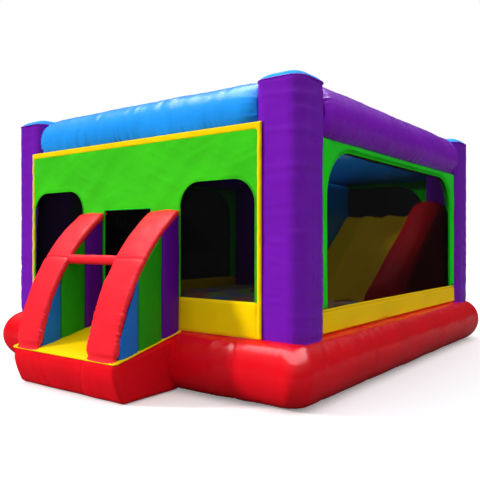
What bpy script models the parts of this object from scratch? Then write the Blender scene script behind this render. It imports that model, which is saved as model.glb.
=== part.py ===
"""Inflatable bounce house with an entrance ramp, an indoor slide and its blower.

World frame: origin on the ground at the centre of the four corner columns,
X to the right along the front wall, Y towards the back, Z up. Metres.
Large air chambers are thin skins with one open side, their air passage.
"""

import math

import bmesh
import bpy
from mathutils import Vector

# clearances and fabric
GAP = 0.0003
CLEAR = 0.001
SKIN = 0.005
NET = 0.008
SHEET = 0.018

# base: the bumper bulges outwards from the mattress edge
BASE_TOP = 0.60
MATTRESS_X = 1.98
MATTRESS_Y = 2.40
MATTRESS_ROUND = 0.12
BUMPER_FLAT = 0.08
BUMPER_BULGE = 0.24
CORNER_SPREAD = 0.25
BUMPER_HALF_HEIGHT = BASE_TOP / 2
BUMPER_BACK_Y = MATTRESS_Y + BUMPER_FLAT + BUMPER_BULGE
FLOOR_TOP = 0.68

# corner columns, their caps and the top beams
COLUMN_X = 1.895
COLUMN_Y = 2.265
COLUMN_HALF = 0.26
COLUMN_ROUND = 0.143
COLUMN_TOP = 2.98
CAP_RISE = 0.10
CAP_ARC = 70
CAP_SKIRT = 0.015
BEAM_RADIUS = 0.295
BEAM_END_RADIUS = 0.25
BEAM_TAPER = 0.05
BEAM_Z = 2.745

# side and back walls
WALL_THICK = 0.10
WALL_INSET = 0.06
WALL_TOP = 2.46
SIDE_SILL_TOP = 0.841
SIDE_WINDOW_TOP = 2.415
BACK_WINDOW_TOP = 2.40
WINDOW_LEG = 0.115
SIDE_WINDOW_ROUND = 0.50
WALL_INNER_X = COLUMN_X + COLUMN_HALF - WALL_INSET - WALL_THICK
WALL_INNER_Y = COLUMN_Y + COLUMN_HALF - WALL_INSET - WALL_THICK
FLOOR_FRONT = -2.47

# front wall, seen from the front: a flat panel hung over the columns
FRONT_Y = -2.545
FRONT_LEFT = -1.78
FRONT_RIGHT = 1.75
FRONT_BOTTOM = 0.597
TRIM_TOP = 2.603
TRIM_WIDTH_TOP = 0.07
TRIM_WIDTH_SIDE = 0.05
FRONT_LEG = 0.012
FRONT_SILL_TOP = 0.935
FRONT_WINDOW_TOP = 2.095
FRONT_WINDOW_ROUND = 0.25
LEFT_WINDOW_INNER = -0.772
RIGHT_WINDOW_INNER = 0.751
DOOR_LEFT = -0.40
DOOR_RIGHT = 0.33
DOOR_TOP = 1.848
DOOR_STEP_TOP = 0.66
NET_OVERLAP = 0.02

# entrance ramp, arches and door curtain
RAMP_LEFT = -0.84
RAMP_RIGHT = 0.76
RAMP_FRONT = -3.41
RAMP_FRONT_Z = 0.388
RAMP_BACK = -2.55
RAMP_BACK_Z = 0.588
RAMP_SHEET = 0.012
RAMP_NOSE = 0.045
ARCH_CENTRE_Y = -1.316
ARCH_CENTRE_Z = 0.107
ARCH_RADIUS = 2.118
ARCH_BAND = 0.06
ARCH_CLEAR = 0.003
ARCH_LEFT_X = (-0.79, -0.40)
ARCH_RIGHT_X = (0.34, 0.745)
ARCH_SPLITS = (-3.11, -2.797)
ARCH_END_Y = -2.549
ARCH_FOOT = 0.025
BAND_EDGE = 0.003
CROSS_BAR_Z = 1.31
CROSS_BAR_RADIUS = 0.05
CURTAIN_Y = -2.501
CURTAIN_TOP = 1.84
CURTAIN_BOTTOM = 0.70
CURTAIN_PIVOT_Z = 1.845
CURTAIN_CLEAR = 0.005

# slide, seen along +Y
LANE_X = (0.36, 1.47)
LANE_TOE_Y = 0.45
LANE_CREST_Y = 1.95
LANE_CREST_Z = 1.90
LANE_LIP = 0.02
BOLSTER_CREST_Y = 1.90
BOLSTER_RISE = 0.20
BOLSTER_NOSE = 0.15
BOLSTER_NOSE_Y = 0.36
DIVIDER_X = (0.11, 0.36)
DIVIDER_Y = (0.75, 2.07)
DIVIDER_TOP = 2.43
CLIMB_LEFT = -0.58
LEFT_BOLSTER = 0.22
LEFT_BOLSTER_NOSE_Y = 1.02
CLIMB_TOE_Y = 0.90
CLIMB_STEPS = 5

# blower, behind the back wall
BLOWER_X = -1.20
BLOWER_Y = 3.62
BLOWER_Z = 0.226
SCROLL_SMALL = 0.150
SCROLL_LARGE = 0.225
SCROLL_WIDTH = 0.22
SCROLL_WALL = 0.006
NOZZLE_Y = 3.20
NOZZLE_RISE = 0.02
NOZZLE_MOUTH = 0.05
SCROLL_START = 170
SCROLL_STEPS = 22
INLET_RADIUS = 0.10
PASSAGE_RADIUS = 0.02
OVERCUT = 0.02
GRILLE_SLOTS = 8
GRILLE_THICK = 0.006
GRILLE_RIM = 0.015
SLOT_INNER = (0.035, 12)
SLOT_OUTER = (0.090, 16)
IMPELLER_RADIUS = 0.13
IMPELLER_HUB = 0.030
IMPELLER_BLADES = 14
IMPELLER_WIDTH = 0.16
BLADE_HALF = 0.002
SHAFT_RADIUS = 0.010
SHAFT_LENGTH = 0.060
SHAFT_BORE = 0.0103
MOTOR_RADIUS = 0.075
MOTOR_LENGTH = 0.13
MOTOR_BEVELS = ((0.01, 0.9), (0.02, 0.8))
SWITCH_Y = BLOWER_Y - 0.13
SWITCH_Z = BLOWER_Z + 0.05
SWITCH_DEPTH = 0.05
SWITCH_HALF = (0.03, 0.035)
RECESS_HALF = (0.012, 0.017)
RECESS_DEPTH = 0.014
ROCKER_HALF = (0.0105, 0.015)
ROCKER_SINK = 0.004
TUBE_RADIUS = 0.125
TUBE_Z = 0.24

# anchors and deflation port, on the back of the base
ANCHOR_X = 1.55
ANCHOR_Z = 0.12
ANCHOR_HALF = 0.025
WEBBING = 0.004
LOOP_RADIUS = 0.008
LOOP_BORE = 0.0042
RING_WIRE = 0.0035
RING_HALF = 0.031
RING_CORNER = 0.006
RING_SIDES = 8
PORT_X = 0.95
PORT_Z = 0.30
PORT_HALF = 0.17
PORT_END = 0.03
SLIDER_THICK = 0.006
SLIDER_HALF = (0.014, 0.008)
FLAP_HALF = 0.06
FLAP_CORNER = 0.02
FLAP_THICK = 0.004
FLAP_STAND_OFF = 0.010

RED = (0.80, 0.012, 0.026)
PURPLE = (0.17, 0.008, 0.50)
BLUE = (0.022, 0.38, 1.0)
GREEN = (0.06, 0.64, 0.013)
DARK_GREEN = (0.013, 0.45, 0.013)
YELLOW = (1.0, 0.72, 0.0)
TAN = (0.55, 0.42, 0.25)
PINK = (1.0, 0.13, 0.16)
BLACK = (0.006, 0.006, 0.006)
STEEL = (0.55, 0.56, 0.58)
GREY = (0.12, 0.12, 0.13)


def clear_scene():
    for item in list(bpy.data.objects):
        bpy.data.objects.remove(item, do_unlink=True)


def material(name, colour, roughness=0.4, metallic=0.0):
    """One Principled material for each finish, made once."""
    found = bpy.data.materials.get(name)
    if found:
        return found
    made = bpy.data.materials.new(name)
    made.use_nodes = True
    shader = made.node_tree.nodes["Principled BSDF"]
    shader.inputs["Base Color"].default_value = (*colour, 1.0)
    shader.inputs["Roughness"].default_value = roughness
    shader.inputs["Metallic"].default_value = metallic
    return made


def vinyl(name, colour):
    return material("vinyl_" + name, colour, 0.35)


def arc(centre, radius, start_deg, end_deg, steps):
    """Points along an arc in a plane, both ends included."""
    points = []
    for i in range(steps + 1):
        angle = math.radians(start_deg + (end_deg - start_deg) * i / steps)
        points.append((centre[0] + radius * math.cos(angle), centre[1] + radius * math.sin(angle)))
    return points


def rounded_rect(half_x, half_y, radius, steps):
    points = []
    corners = ((1, 1, 0), (-1, 1, 90), (-1, -1, 180), (1, -1, 270))
    for sign_x, sign_y, start in corners:
        centre = (sign_x * (half_x - radius), sign_y * (half_y - radius))
        points += arc(centre, radius, start, start + 90, steps)
    return points


def add_object(name, bm, finish):
    """Turns the bmesh into an object whose faces point outwards."""
    bmesh.ops.remove_doubles(bm, verts=bm.verts[:], dist=0.00001)
    bmesh.ops.recalc_face_normals(bm, faces=bm.faces[:])
    closed = all(len(edge.link_faces) == 2 for edge in bm.edges)
    if closed and bm.calc_volume(signed=True) < 0:
        bmesh.ops.reverse_faces(bm, faces=bm.faces[:])
    mesh = bpy.data.meshes.new(name)
    bm.to_mesh(mesh)
    bm.free()
    item = bpy.data.objects.new(name, mesh)
    item.data.materials.append(finish)
    bpy.context.scene.collection.objects.link(item)
    return item


def shade(item):
    item.data.shade_smooth()
    item.data.set_sharp_from_angle(angle=math.radians(40))
    return item


def hollow(item):
    """Leaves only the fabric skin of an open-sided chamber."""
    skin = item.modifiers.new("skin", "SOLIDIFY")
    skin.thickness = SKIN
    skin.offset = -1.0
    skin.use_even_offset = True
    return item


def loft(name, rings, finish, cap_start=True, cap_end=True):
    """Joins rings of equal length with quads; each ring is a list of 3-D points."""
    bm = bmesh.new()
    rows = [[bm.verts.new(point) for point in ring] for ring in rings]
    for row, following in zip(rows, rows[1:]):
        for i in range(len(row)):
            j = (i + 1) % len(row)
            bm.faces.new((row[i], row[j], following[j], following[i]))
    if cap_start:
        bm.faces.new(rows[0])
    if cap_end:
        bm.faces.new(rows[-1])
    return add_object(name, bm, finish)


def place(axis, along, point):
    """A 2-D point of an outline, put at a distance along the outline's normal axis."""
    u, v = point
    return {"x": (along, u, v), "y": (u, along, v), "z": (u, v, along)}[axis]


def prism(name, outline, axis, low, high, finish, closed=True):
    """Extrudes an outline along an axis; an open prism has no face at its high end."""
    rings = [[place(axis, along, point) for point in outline] for along in (low, high)]
    return loft(name, rings, finish, True, closed)


def pierced(name, outline, holes, axis, low, high, finish):
    """A flat plate with holes through it."""
    bm = bmesh.new()
    edges = []
    for loop in [outline] + holes:
        verts = [bm.verts.new(place(axis, low, point)) for point in loop]
        for i, vert in enumerate(verts):
            edges.append(bm.edges.new((vert, verts[(i + 1) % len(verts)])))
    bmesh.ops.triangle_fill(bm, edges=edges, use_beauty=True)
    sheet = bm.faces[:]
    grown = bmesh.ops.extrude_face_region(bm, geom=sheet)
    moved = [part for part in grown["geom"] if isinstance(part, bmesh.types.BMVert)]
    shift = Vector(place(axis, high - low, (0, 0)))
    bmesh.ops.translate(bm, verts=moved, vec=shift)
    return add_object(name, bm, finish)


def combine(item, other, operation):
    """Cuts or unites with another object, which is used up."""
    change = item.modifiers.new("combine", "BOOLEAN")
    change.operation = operation
    change.solver = "EXACT"
    change.object = other
    graph = bpy.context.evaluated_depsgraph_get()
    graph.update()
    result = bpy.data.meshes.new_from_object(item.evaluated_get(graph))
    item.modifiers.clear()
    item.data = result
    bpy.data.objects.remove(other, do_unlink=True)
    return item


def cylinder(name, axis, centre, radius, low, high, finish, steps=24):
    circle = arc(centre, radius, 0, 360, steps)[:-1]
    return prism(name, circle, axis, low, high, finish)


def bumper_profile(margin=0.0, steps=12):
    """Outward distance and height down the bumper, from its top edge to the ground."""
    points = []
    for i in range(steps + 1):
        angle = math.radians(90 - 180 * i / steps)
        out = BUMPER_FLAT + (BUMPER_BULGE + margin) * math.cos(angle)
        height = BUMPER_HALF_HEIGHT + (BUMPER_HALF_HEIGHT + margin) * math.sin(angle)
        points.append((out, height))
    return points


def plan_ring(outward, z):
    """The base's outline at a distance out from the mattress edge."""
    outline = rounded_rect(
        MATTRESS_X + outward, MATTRESS_Y + outward, MATTRESS_ROUND + CORNER_SPREAD * outward, 5
    )
    return [(x, y, z) for x, y in outline]


def build_base():
    """Mattress with an air opening in its back side, bumper ring and floor cover."""
    rings = [plan_ring(-GAP, z) for z in (0.0, BASE_TOP)]
    mattress = loft("base_mattress", rings, vinyl("red", RED))
    bm = bmesh.new()
    bm.from_mesh(mattress.data)
    back = max(bm.faces, key=lambda face: face.calc_center_median().y * face.calc_area())
    bmesh.ops.inset_individual(bm, faces=[back], thickness=BASE_TOP / 3)
    bmesh.ops.delete(bm, geom=[back], context="FACES_ONLY")
    bm.to_mesh(mattress.data)
    bm.free()
    hollow(mattress)

    profile = [(0.0, BASE_TOP)] + bumper_profile() + [(0.0, 0.0)]
    rings = [plan_ring(out, z) for out, z in profile]
    bumper = loft("base_bumper", rings, vinyl("red", RED), False, False)
    shade(hollow(bumper))

    notch_x = COLUMN_X - COLUMN_HALF - GAP
    notch_y = COLUMN_Y - COLUMN_HALF - GAP
    wide = WALL_INNER_X - GAP
    back = WALL_INNER_Y - GAP
    right = [(notch_x, FLOOR_FRONT), (notch_x, -notch_y), (wide, -notch_y)]
    right += [(wide, notch_y), (notch_x, notch_y), (notch_x, back)]
    outline = right + [(-x, y) for x, y in reversed(right)]
    prism("floor_cover", outline, "z", BASE_TOP + GAP, FLOOR_TOP, material("floor_cover", TAN))


def build_columns():
    """Four upright tubes, open at both ends, each with a domed cap."""
    for side, sign_x in (("left", -1), ("right", 1)):
        for end, sign_y in (("front", -1), ("back", 1)):
            section = rounded_rect(COLUMN_HALF, COLUMN_HALF, COLUMN_ROUND, 4)
            centre = Vector((sign_x * COLUMN_X, sign_y * COLUMN_Y, 0.0))
            rings = [
                [centre + Vector((x, y, z)) for x, y in section]
                for z in (BASE_TOP + GAP, COLUMN_TOP)
            ]
            name = f"column_{end}_{side}"
            column = loft(name, rings, vinyl("purple", PURPLE), False, False)
            shade(hollow(column))
            foot = COLUMN_TOP + GAP
            rings = [[centre + Vector((x, y, foot)) for x, y in section]]
            for degrees in (0, 20, 45, CAP_ARC):
                shrink = math.cos(math.radians(degrees))
                share = math.sin(math.radians(degrees)) / math.sin(math.radians(CAP_ARC))
                z = foot + CAP_SKIRT + (CAP_RISE - CAP_SKIRT) * share
                rings.append([centre + Vector((x * shrink, y * shrink, z)) for x, y in section])
            cap = loft(f"cap_{end}_{side}", rings, vinyl("blue", BLUE), False, True)
            shade(hollow(cap))


def build_beams():
    """Round tubes between the columns: blue at front and back, purple at the sides."""
    spans = (
        ("beam_front", "x", -COLUMN_Y, COLUMN_X, vinyl("blue", BLUE)),
        ("beam_back", "x", COLUMN_Y, COLUMN_X, vinyl("blue", BLUE)),
        ("beam_left", "y", -COLUMN_X, COLUMN_Y, vinyl("purple", PURPLE)),
        ("beam_right", "y", COLUMN_X, COLUMN_Y, vinyl("purple", PURPLE)),
    )
    for name, axis, across, post, finish in spans:
        reach = post - COLUMN_HALF - GAP
        stations = ((reach, BEAM_END_RADIUS), (reach - BEAM_TAPER, BEAM_RADIUS))
        stations += tuple((-along, radius) for along, radius in reversed(stations))
        rings = []
        for along, radius in stations:
            circle = arc((across, BEAM_Z), radius, 0, 360, 20)[:-1]
            rings.append([place(axis, along, point) for point in circle])
        shade(hollow(loft(name, rings, finish, False, False)))


def window_arch(half, top, radius, bottom, margin=0.0):
    """Outline of a window from its bottom right corner up and over to its bottom left."""
    reach = half - margin
    high = top - margin
    right = arc((reach - radius, high - radius), radius, 0, 90, 5)
    left = [(-u, v) for u, v in reversed(right)]
    return [(reach, bottom)] + right + left + [(-reach, bottom)]


def build_wall(name, axis, half, window_top, low, high):
    """A wall between two columns: a sill, a panel arched over the window, and the net."""
    sill = [(-half, BASE_TOP + GAP), (half, BASE_TOP + GAP)]
    sill += [(half, SIDE_SILL_TOP), (-half, SIDE_SILL_TOP)]
    prism(f"sill_{name}", sill, axis, low, high, vinyl("yellow", YELLOW))
    foot = SIDE_SILL_TOP + GAP
    window = window_arch(half - WINDOW_LEG, window_top, SIDE_WINDOW_ROUND, foot)
    panel = window + [(-half, foot), (-half, WALL_TOP), (half, WALL_TOP), (half, foot)]
    prism(f"panel_{name}", panel, axis, low, high, vinyl("dark_green", DARK_GREEN))
    net = window_arch(half - WINDOW_LEG, window_top, SIDE_WINDOW_ROUND, foot, GAP)
    middle = (low + high) / 2
    prism(f"net_{name}", net, axis, middle - NET / 2, middle + NET / 2, material("net", BLACK))


def build_walls():
    half_y = COLUMN_Y - COLUMN_HALF - GAP
    half_x = COLUMN_X - COLUMN_HALF - GAP
    outer_x = WALL_INNER_X + WALL_THICK
    build_wall("left", "x", half_y, SIDE_WINDOW_TOP, -outer_x, -WALL_INNER_X)
    build_wall("right", "x", half_y, SIDE_WINDOW_TOP, WALL_INNER_X, outer_x)
    outer_y = WALL_INNER_Y + WALL_THICK
    build_wall("back", "y", half_x, BACK_WINDOW_TOP, WALL_INNER_Y, outer_y)


def build_front():
    """Green panel, yellow frame and sill, and the two nets behind them."""
    back = FRONT_Y + SHEET
    left = FRONT_LEFT + TRIM_WIDTH_SIDE
    right = FRONT_RIGHT - TRIM_WIDTH_SIDE
    top = TRIM_TOP - TRIM_WIDTH_TOP
    trim = [(FRONT_LEFT, FRONT_BOTTOM), (left, FRONT_BOTTOM), (left, top), (right, top)]
    trim += [(right, FRONT_BOTTOM), (FRONT_RIGHT, FRONT_BOTTOM)]
    trim += [(FRONT_RIGHT, TRIM_TOP), (FRONT_LEFT, TRIM_TOP)]
    prism("front_trim", trim, "y", FRONT_Y, back, vinyl("yellow", YELLOW))

    left += GAP
    right -= GAP
    sill = [(left, FRONT_BOTTOM), (right, FRONT_BOTTOM), (right, FRONT_SILL_TOP)]
    sill += [(DOOR_RIGHT, FRONT_SILL_TOP), (DOOR_RIGHT, DOOR_STEP_TOP)]
    sill += [(DOOR_LEFT, DOOR_STEP_TOP), (DOOR_LEFT, FRONT_SILL_TOP), (left, FRONT_SILL_TOP)]
    prism("front_sill", sill, "y", FRONT_Y, back, vinyl("yellow", YELLOW))

    foot = FRONT_SILL_TOP + GAP
    high = FRONT_WINDOW_TOP - FRONT_WINDOW_ROUND
    turn = FRONT_WINDOW_ROUND
    panel = [(left, foot), (left + FRONT_LEG, foot)]
    panel += arc((left + FRONT_LEG + turn, high), turn, 180, 90, 5)
    panel += arc((LEFT_WINDOW_INNER - turn, high), turn, 90, 0, 5)
    panel += [(LEFT_WINDOW_INNER, foot), (DOOR_LEFT, foot), (DOOR_LEFT, DOOR_TOP)]
    panel += [(DOOR_RIGHT, DOOR_TOP), (DOOR_RIGHT, foot), (RIGHT_WINDOW_INNER, foot)]
    panel += arc((RIGHT_WINDOW_INNER + turn, high), turn, 180, 90, 5)
    panel += arc((right - FRONT_LEG - turn, high), turn, 90, 0, 5)
    panel += [(right - FRONT_LEG, foot), (right, foot), (right, top - GAP), (left, top - GAP)]
    prism("front_panel", panel, "y", FRONT_Y, back, vinyl("green", GREEN))

    spans = {
        "net_front_left": (left, LEFT_WINDOW_INNER + NET_OVERLAP),
        "net_front_right": (RIGHT_WINDOW_INNER - NET_OVERLAP, right),
    }
    for name, (start, end) in spans.items():
        half = (end - start) / 2
        window = window_arch(half, FRONT_WINDOW_TOP + NET_OVERLAP, turn, FRONT_BOTTOM + NET_OVERLAP)
        outline = [(u + start + half, v) for u, v in window]
        near = back + 2 * GAP
        prism(name, outline, "y", near, near + NET, material("net", BLACK))


def ramp_height(y):
    """Height of the ramp cushion's top at a distance from the house."""
    share = (y - RAMP_FRONT) / (RAMP_BACK - RAMP_FRONT)
    return RAMP_FRONT_Z + share * (RAMP_BACK_Z - RAMP_FRONT_Z)


def build_ramp():
    """Red cushion whose back follows the bumper, with a yellow sheet over its top."""
    front = arc((RAMP_FRONT + RAMP_NOSE, RAMP_NOSE), RAMP_NOSE, 270, 180, 3)
    top = [(RAMP_FRONT, ramp_height(RAMP_FRONT)), (RAMP_BACK, ramp_height(RAMP_BACK))]
    lower = bumper_profile(CLEAR)[2:-1]
    back = [(-MATTRESS_Y - out, height) for out, height in lower]
    foot = [(back[-1][0], 0.0)]
    outline = front + top + back + foot
    cushion = prism("ramp_cushion", outline, "x", RAMP_LEFT, RAMP_RIGHT, vinyl("red", RED))
    shade(cushion)

    sheet = [(y, z + GAP) for y, z in top] + [(y, z + RAMP_SHEET) for y, z in reversed(top)]
    prism("ramp_top", sheet, "x", RAMP_LEFT, RAMP_RIGHT, vinyl("yellow", YELLOW))


def arch_point(radius, y=None, z=None):
    """The point of a concentric arch line at a given y or z."""
    if z is None:
        rise = math.sqrt(radius**2 - (y - ARCH_CENTRE_Y) ** 2)
        return (y, ARCH_CENTRE_Z + rise)
    reach = math.sqrt(radius**2 - (z - ARCH_CENTRE_Z) ** 2)
    return (ARCH_CENTRE_Y - reach, z)


def arch_angle(point):
    """Angle in degrees of a point seen from the arch's centre."""
    return math.degrees(math.atan2(point[1] - ARCH_CENTRE_Z, point[0] - ARCH_CENTRE_Y))


def arch_run(radius, first, last, steps):
    centre = (ARCH_CENTRE_Y, ARCH_CENTRE_Z)
    return arc(centre, radius, arch_angle(first), arch_angle(last), steps)


def arch_line(radius, foot_z):
    """The whole arch line at one radius, from the ramp up to the front wall."""
    foot = arch_point(radius, z=foot_z)
    return arch_run(radius, foot, arch_point(radius, y=ARCH_END_Y), 10)


def build_arches():
    """Three upright tubes in each entrance side wall, under one arched band."""
    inner = ARCH_RADIUS - ARCH_BAND - ARCH_CLEAR
    foot_z = ramp_height(RAMP_FRONT) + RAMP_SHEET + 2 * GAP
    foot_z += ARCH_FOOT
    start = arch_point(inner, z=foot_z)
    splits = (start[0], *ARCH_SPLITS, ARCH_END_Y)
    colours = (("blue", BLUE), ("green", GREEN), ("purple", PURPLE))
    for side, (low, high) in (("left", ARCH_LEFT_X), ("right", ARCH_RIGHT_X)):
        for (colour, rgb), near, far in zip(colours, splits, splits[1:]):
            far -= GAP if far != splits[-1] else 0.0
            run = arch_run(inner, arch_point(inner, y=near), arch_point(inner, y=far), 4)
            lift = RAMP_SHEET + GAP
            outline = [(far, ramp_height(far) + lift), (near, ramp_height(near) + lift)] + run
            name = f"arch_{colour}_{side}"
            prism(name, outline, "x", low, high, vinyl(colour, rgb))
        band = arch_line(ARCH_RADIUS, foot_z) + arch_line(ARCH_RADIUS - ARCH_BAND, foot_z)[::-1]
        prism(f"arch_band_{side}", band, "x", low - BAND_EDGE, high + BAND_EDGE, vinyl("red", RED))

    middle = arch_point(ARCH_RADIUS - CROSS_BAR_RADIUS, z=CROSS_BAR_Z)
    low = ARCH_LEFT_X[1] + BAND_EDGE + GAP
    high = ARCH_RIGHT_X[0] - BAND_EDGE - GAP
    bar = cylinder(
        "cross_bar", "x", middle, CROSS_BAR_RADIUS, low, high, vinyl("pink", PINK), 12
    )
    shade(bar)


def box_outline(low, high, bottom, top):
    return [(low, bottom), (high, bottom), (high, top), (low, top)]


def build_curtain():
    """Black sheet in the doorway, hung on a line along its top edge."""
    low = DOOR_LEFT + CURTAIN_CLEAR
    high = DOOR_RIGHT - CURTAIN_CLEAR
    outline = box_outline(low, high, CURTAIN_BOTTOM, CURTAIN_TOP)
    near = CURTAIN_Y - NET / 2
    curtain = prism("door_curtain", outline, "y", near, near + NET, material("net", BLACK))
    put_origin(curtain, (0.0, CURTAIN_Y, CURTAIN_PIVOT_Z))


def put_origin(item, point):
    """Moves an object's origin onto its joint without moving its shape."""
    shift = Vector(point)
    for vert in item.data.vertices:
        vert.co -= shift
    item.location = shift


def bolster_outline(nose_y, foot, back):
    """Side view of a bolster that climbs from a rounded nose to its level top."""
    nose = (nose_y, foot + BOLSTER_NOSE)
    crest = LANE_CREST_Z + BOLSTER_RISE
    outline = [(nose_y, foot)] + arc(nose, BOLSTER_NOSE, 250, 130, 4)
    return outline + [(BOLSTER_CREST_Y, crest), (back, crest), (back, foot)]


def build_slide():
    """Lane, bolsters, divider and climbing wall; the hidden ends are open to the air."""
    foot = FLOOR_TOP + GAP
    back = WALL_INNER_Y - CLEAR
    low, high = LANE_X
    lane = [(LANE_TOE_Y, foot), (LANE_TOE_Y, foot + LANE_LIP), (LANE_CREST_Y, LANE_CREST_Z)]
    lane += [(back, LANE_CREST_Z), (back, foot)]
    yellow = vinyl("yellow", YELLOW)
    hollow(prism("slide_lane", lane, "x", low + GAP, high - GAP, yellow, False))

    post_y = COLUMN_Y - COLUMN_HALF - CLEAR
    right = bolster_outline(BOLSTER_NOSE_Y, foot, post_y)
    left = bolster_outline(LEFT_BOLSTER_NOSE_Y, foot, back)
    wall_x = WALL_INNER_X - CLEAR
    red = vinyl("red", RED)
    hollow(prism("slide_bolster_right", right, "x", high, wall_x, red, False))
    outer = CLIMB_LEFT - LEFT_BOLSTER
    hollow(prism("slide_bolster_left", left, "x", outer, CLIMB_LEFT - GAP, red, False))

    step_y = (LANE_CREST_Y - CLIMB_TOE_Y) / CLIMB_STEPS
    step_z = (LANE_CREST_Z - foot) / CLIMB_STEPS
    climb = [(CLIMB_TOE_Y, foot)]
    for i in range(CLIMB_STEPS):
        climb.append((CLIMB_TOE_Y + i * step_y, foot + (i + 1) * step_z))
        climb.append((CLIMB_TOE_Y + (i + 1) * step_y, foot + (i + 1) * step_z))
    climb += [(back, LANE_CREST_Z), (back, foot)]
    inner = DIVIDER_X[0] - GAP
    hollow(prism("climb_wall", climb, "x", CLIMB_LEFT, inner, vinyl("green", GREEN), False))

    near, far = DIVIDER_Y
    divider = [(near, foot), (near, DIVIDER_TOP), (far, DIVIDER_TOP)]
    divider += [(far, LANE_CREST_Z), (back, LANE_CREST_Z), (back, foot)]
    hollow(prism("slide_divider", divider, "x", *DIVIDER_X, vinyl("blue", BLUE), False))


def scroll_outline(inset):
    """Side view of the blower's scroll, from the nozzle's top round to its bottom."""
    points = [(NOZZLE_Y, BLOWER_Z + NOZZLE_RISE - inset)]
    for i in range(SCROLL_STEPS + 1):
        share = i / SCROLL_STEPS
        angle = math.radians(SCROLL_START - (SCROLL_START + 90) * share)
        radius = SCROLL_SMALL + (SCROLL_LARGE - SCROLL_SMALL) * share - inset
        points.append((BLOWER_Y + radius * math.cos(angle), BLOWER_Z + radius * math.sin(angle)))
    points.append((NOZZLE_Y, points[-1][1]))
    return points


def build_housing(left, right, centre):
    """Scroll with an open nozzle, an inlet on its left and a shaft passage on its right."""
    plastic = material("blower_plastic", BLUE, 0.45)
    housing = prism("blower_housing", scroll_outline(0.0), "x", left, right, plastic)
    inside = scroll_outline(SCROLL_WALL)
    inside[0] = (NOZZLE_Y - NOZZLE_MOUTH, inside[0][1])
    inside[-1] = (NOZZLE_Y - NOZZLE_MOUTH, inside[-1][1])
    cavity = prism("cavity", inside, "x", left + SCROLL_WALL, right - SCROLL_WALL, plastic)
    combine(housing, cavity, "DIFFERENCE")
    inlet = cylinder("inlet", "x", centre, INLET_RADIUS, left - OVERCUT, BLOWER_X, plastic)
    combine(housing, inlet, "DIFFERENCE")
    end = right + OVERCUT
    passage = cylinder("passage", "x", centre, PASSAGE_RADIUS, BLOWER_X, end, plastic, 16)
    shade(combine(housing, passage, "DIFFERENCE"))


def build_grille(face, centre):
    """Round guard with radial slots over the inlet."""
    slots = []
    inner_radius, inner_half = SLOT_INNER
    outer_radius, outer_half = SLOT_OUTER
    for i in range(GRILLE_SLOTS):
        mid = 360 / GRILLE_SLOTS * i
        inner = arc(centre, inner_radius, mid - inner_half, mid + inner_half, 2)
        outer = arc(centre, outer_radius, mid + outer_half, mid - outer_half, 3)
        slots.append(inner + outer)
    rim = arc(centre, INLET_RADIUS + GRILLE_RIM, 0, 360, 32)[:-1]
    dark = material("blower_dark", GREY, 0.5)
    pierced("blower_grille", rim, slots, "x", face - GRILLE_THICK, face, dark)


def build_impeller(centre, shaft_end):
    """Paddles standing out from a solid hub, in one piece with the motor's shaft."""
    steel = material("steel", STEEL, 0.3, 1.0)
    paddles = []
    for i in range(IMPELLER_BLADES):
        turn = 2 * math.pi * i / IMPELLER_BLADES
        half_hub = math.asin(BLADE_HALF / IMPELLER_HUB)
        half_tip = math.asin(BLADE_HALF / IMPELLER_RADIUS)
        for radius, angle in (
            (IMPELLER_HUB, turn - half_hub),
            (IMPELLER_RADIUS, turn - half_tip),
            (IMPELLER_RADIUS, turn + half_tip),
            (IMPELLER_HUB, turn + half_hub),
        ):
            paddles.append((BLOWER_Y + radius * math.cos(angle), BLOWER_Z + radius * math.sin(angle)))
    half = IMPELLER_WIDTH / 2
    impeller = prism("blower_impeller", paddles, "x", BLOWER_X - half, BLOWER_X + half, steel)
    shaft = cylinder("shaft", "x", centre, SHAFT_RADIUS, BLOWER_X, shaft_end, steel, 16)
    combine(impeller, shaft, "UNION")
    put_origin(impeller, (BLOWER_X, BLOWER_Y, BLOWER_Z))


def build_motor(start, centre, shaft_end):
    """Motor can with narrowed ends and a blind bore for the shaft."""
    dark = material("blower_dark", GREY, 0.5)
    end = start + MOTOR_LENGTH
    (near, near_scale), (far, far_scale) = MOTOR_BEVELS
    stations = ((start, near_scale), (start + near, 1.0), (end - far, 1.0), (end, far_scale))
    rings = []
    for along, scale in stations:
        circle = arc(centre, MOTOR_RADIUS * scale, 0, 360, 24)[:-1]
        rings.append([(along, y, z) for y, z in circle])
    motor = loft("blower_motor", rings, dark)
    deep = shaft_end + OVERCUT / 2
    bore = cylinder("bore", "x", centre, SHAFT_BORE, start - OVERCUT, deep, dark, 16)
    shade(combine(motor, bore, "DIFFERENCE"))


def build_blower():
    """Scroll housing round a paddle impeller, driven by a motor on its right side."""
    left = BLOWER_X - SCROLL_WIDTH / 2
    right = BLOWER_X + SCROLL_WIDTH / 2
    centre = (BLOWER_Y, BLOWER_Z)
    shaft_end = right + SHAFT_LENGTH
    build_housing(left, right, centre)
    build_grille(left - GAP, centre)
    build_impeller(centre, shaft_end)
    build_motor(right + GAP, centre, shaft_end)
    build_switch(right)


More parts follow.
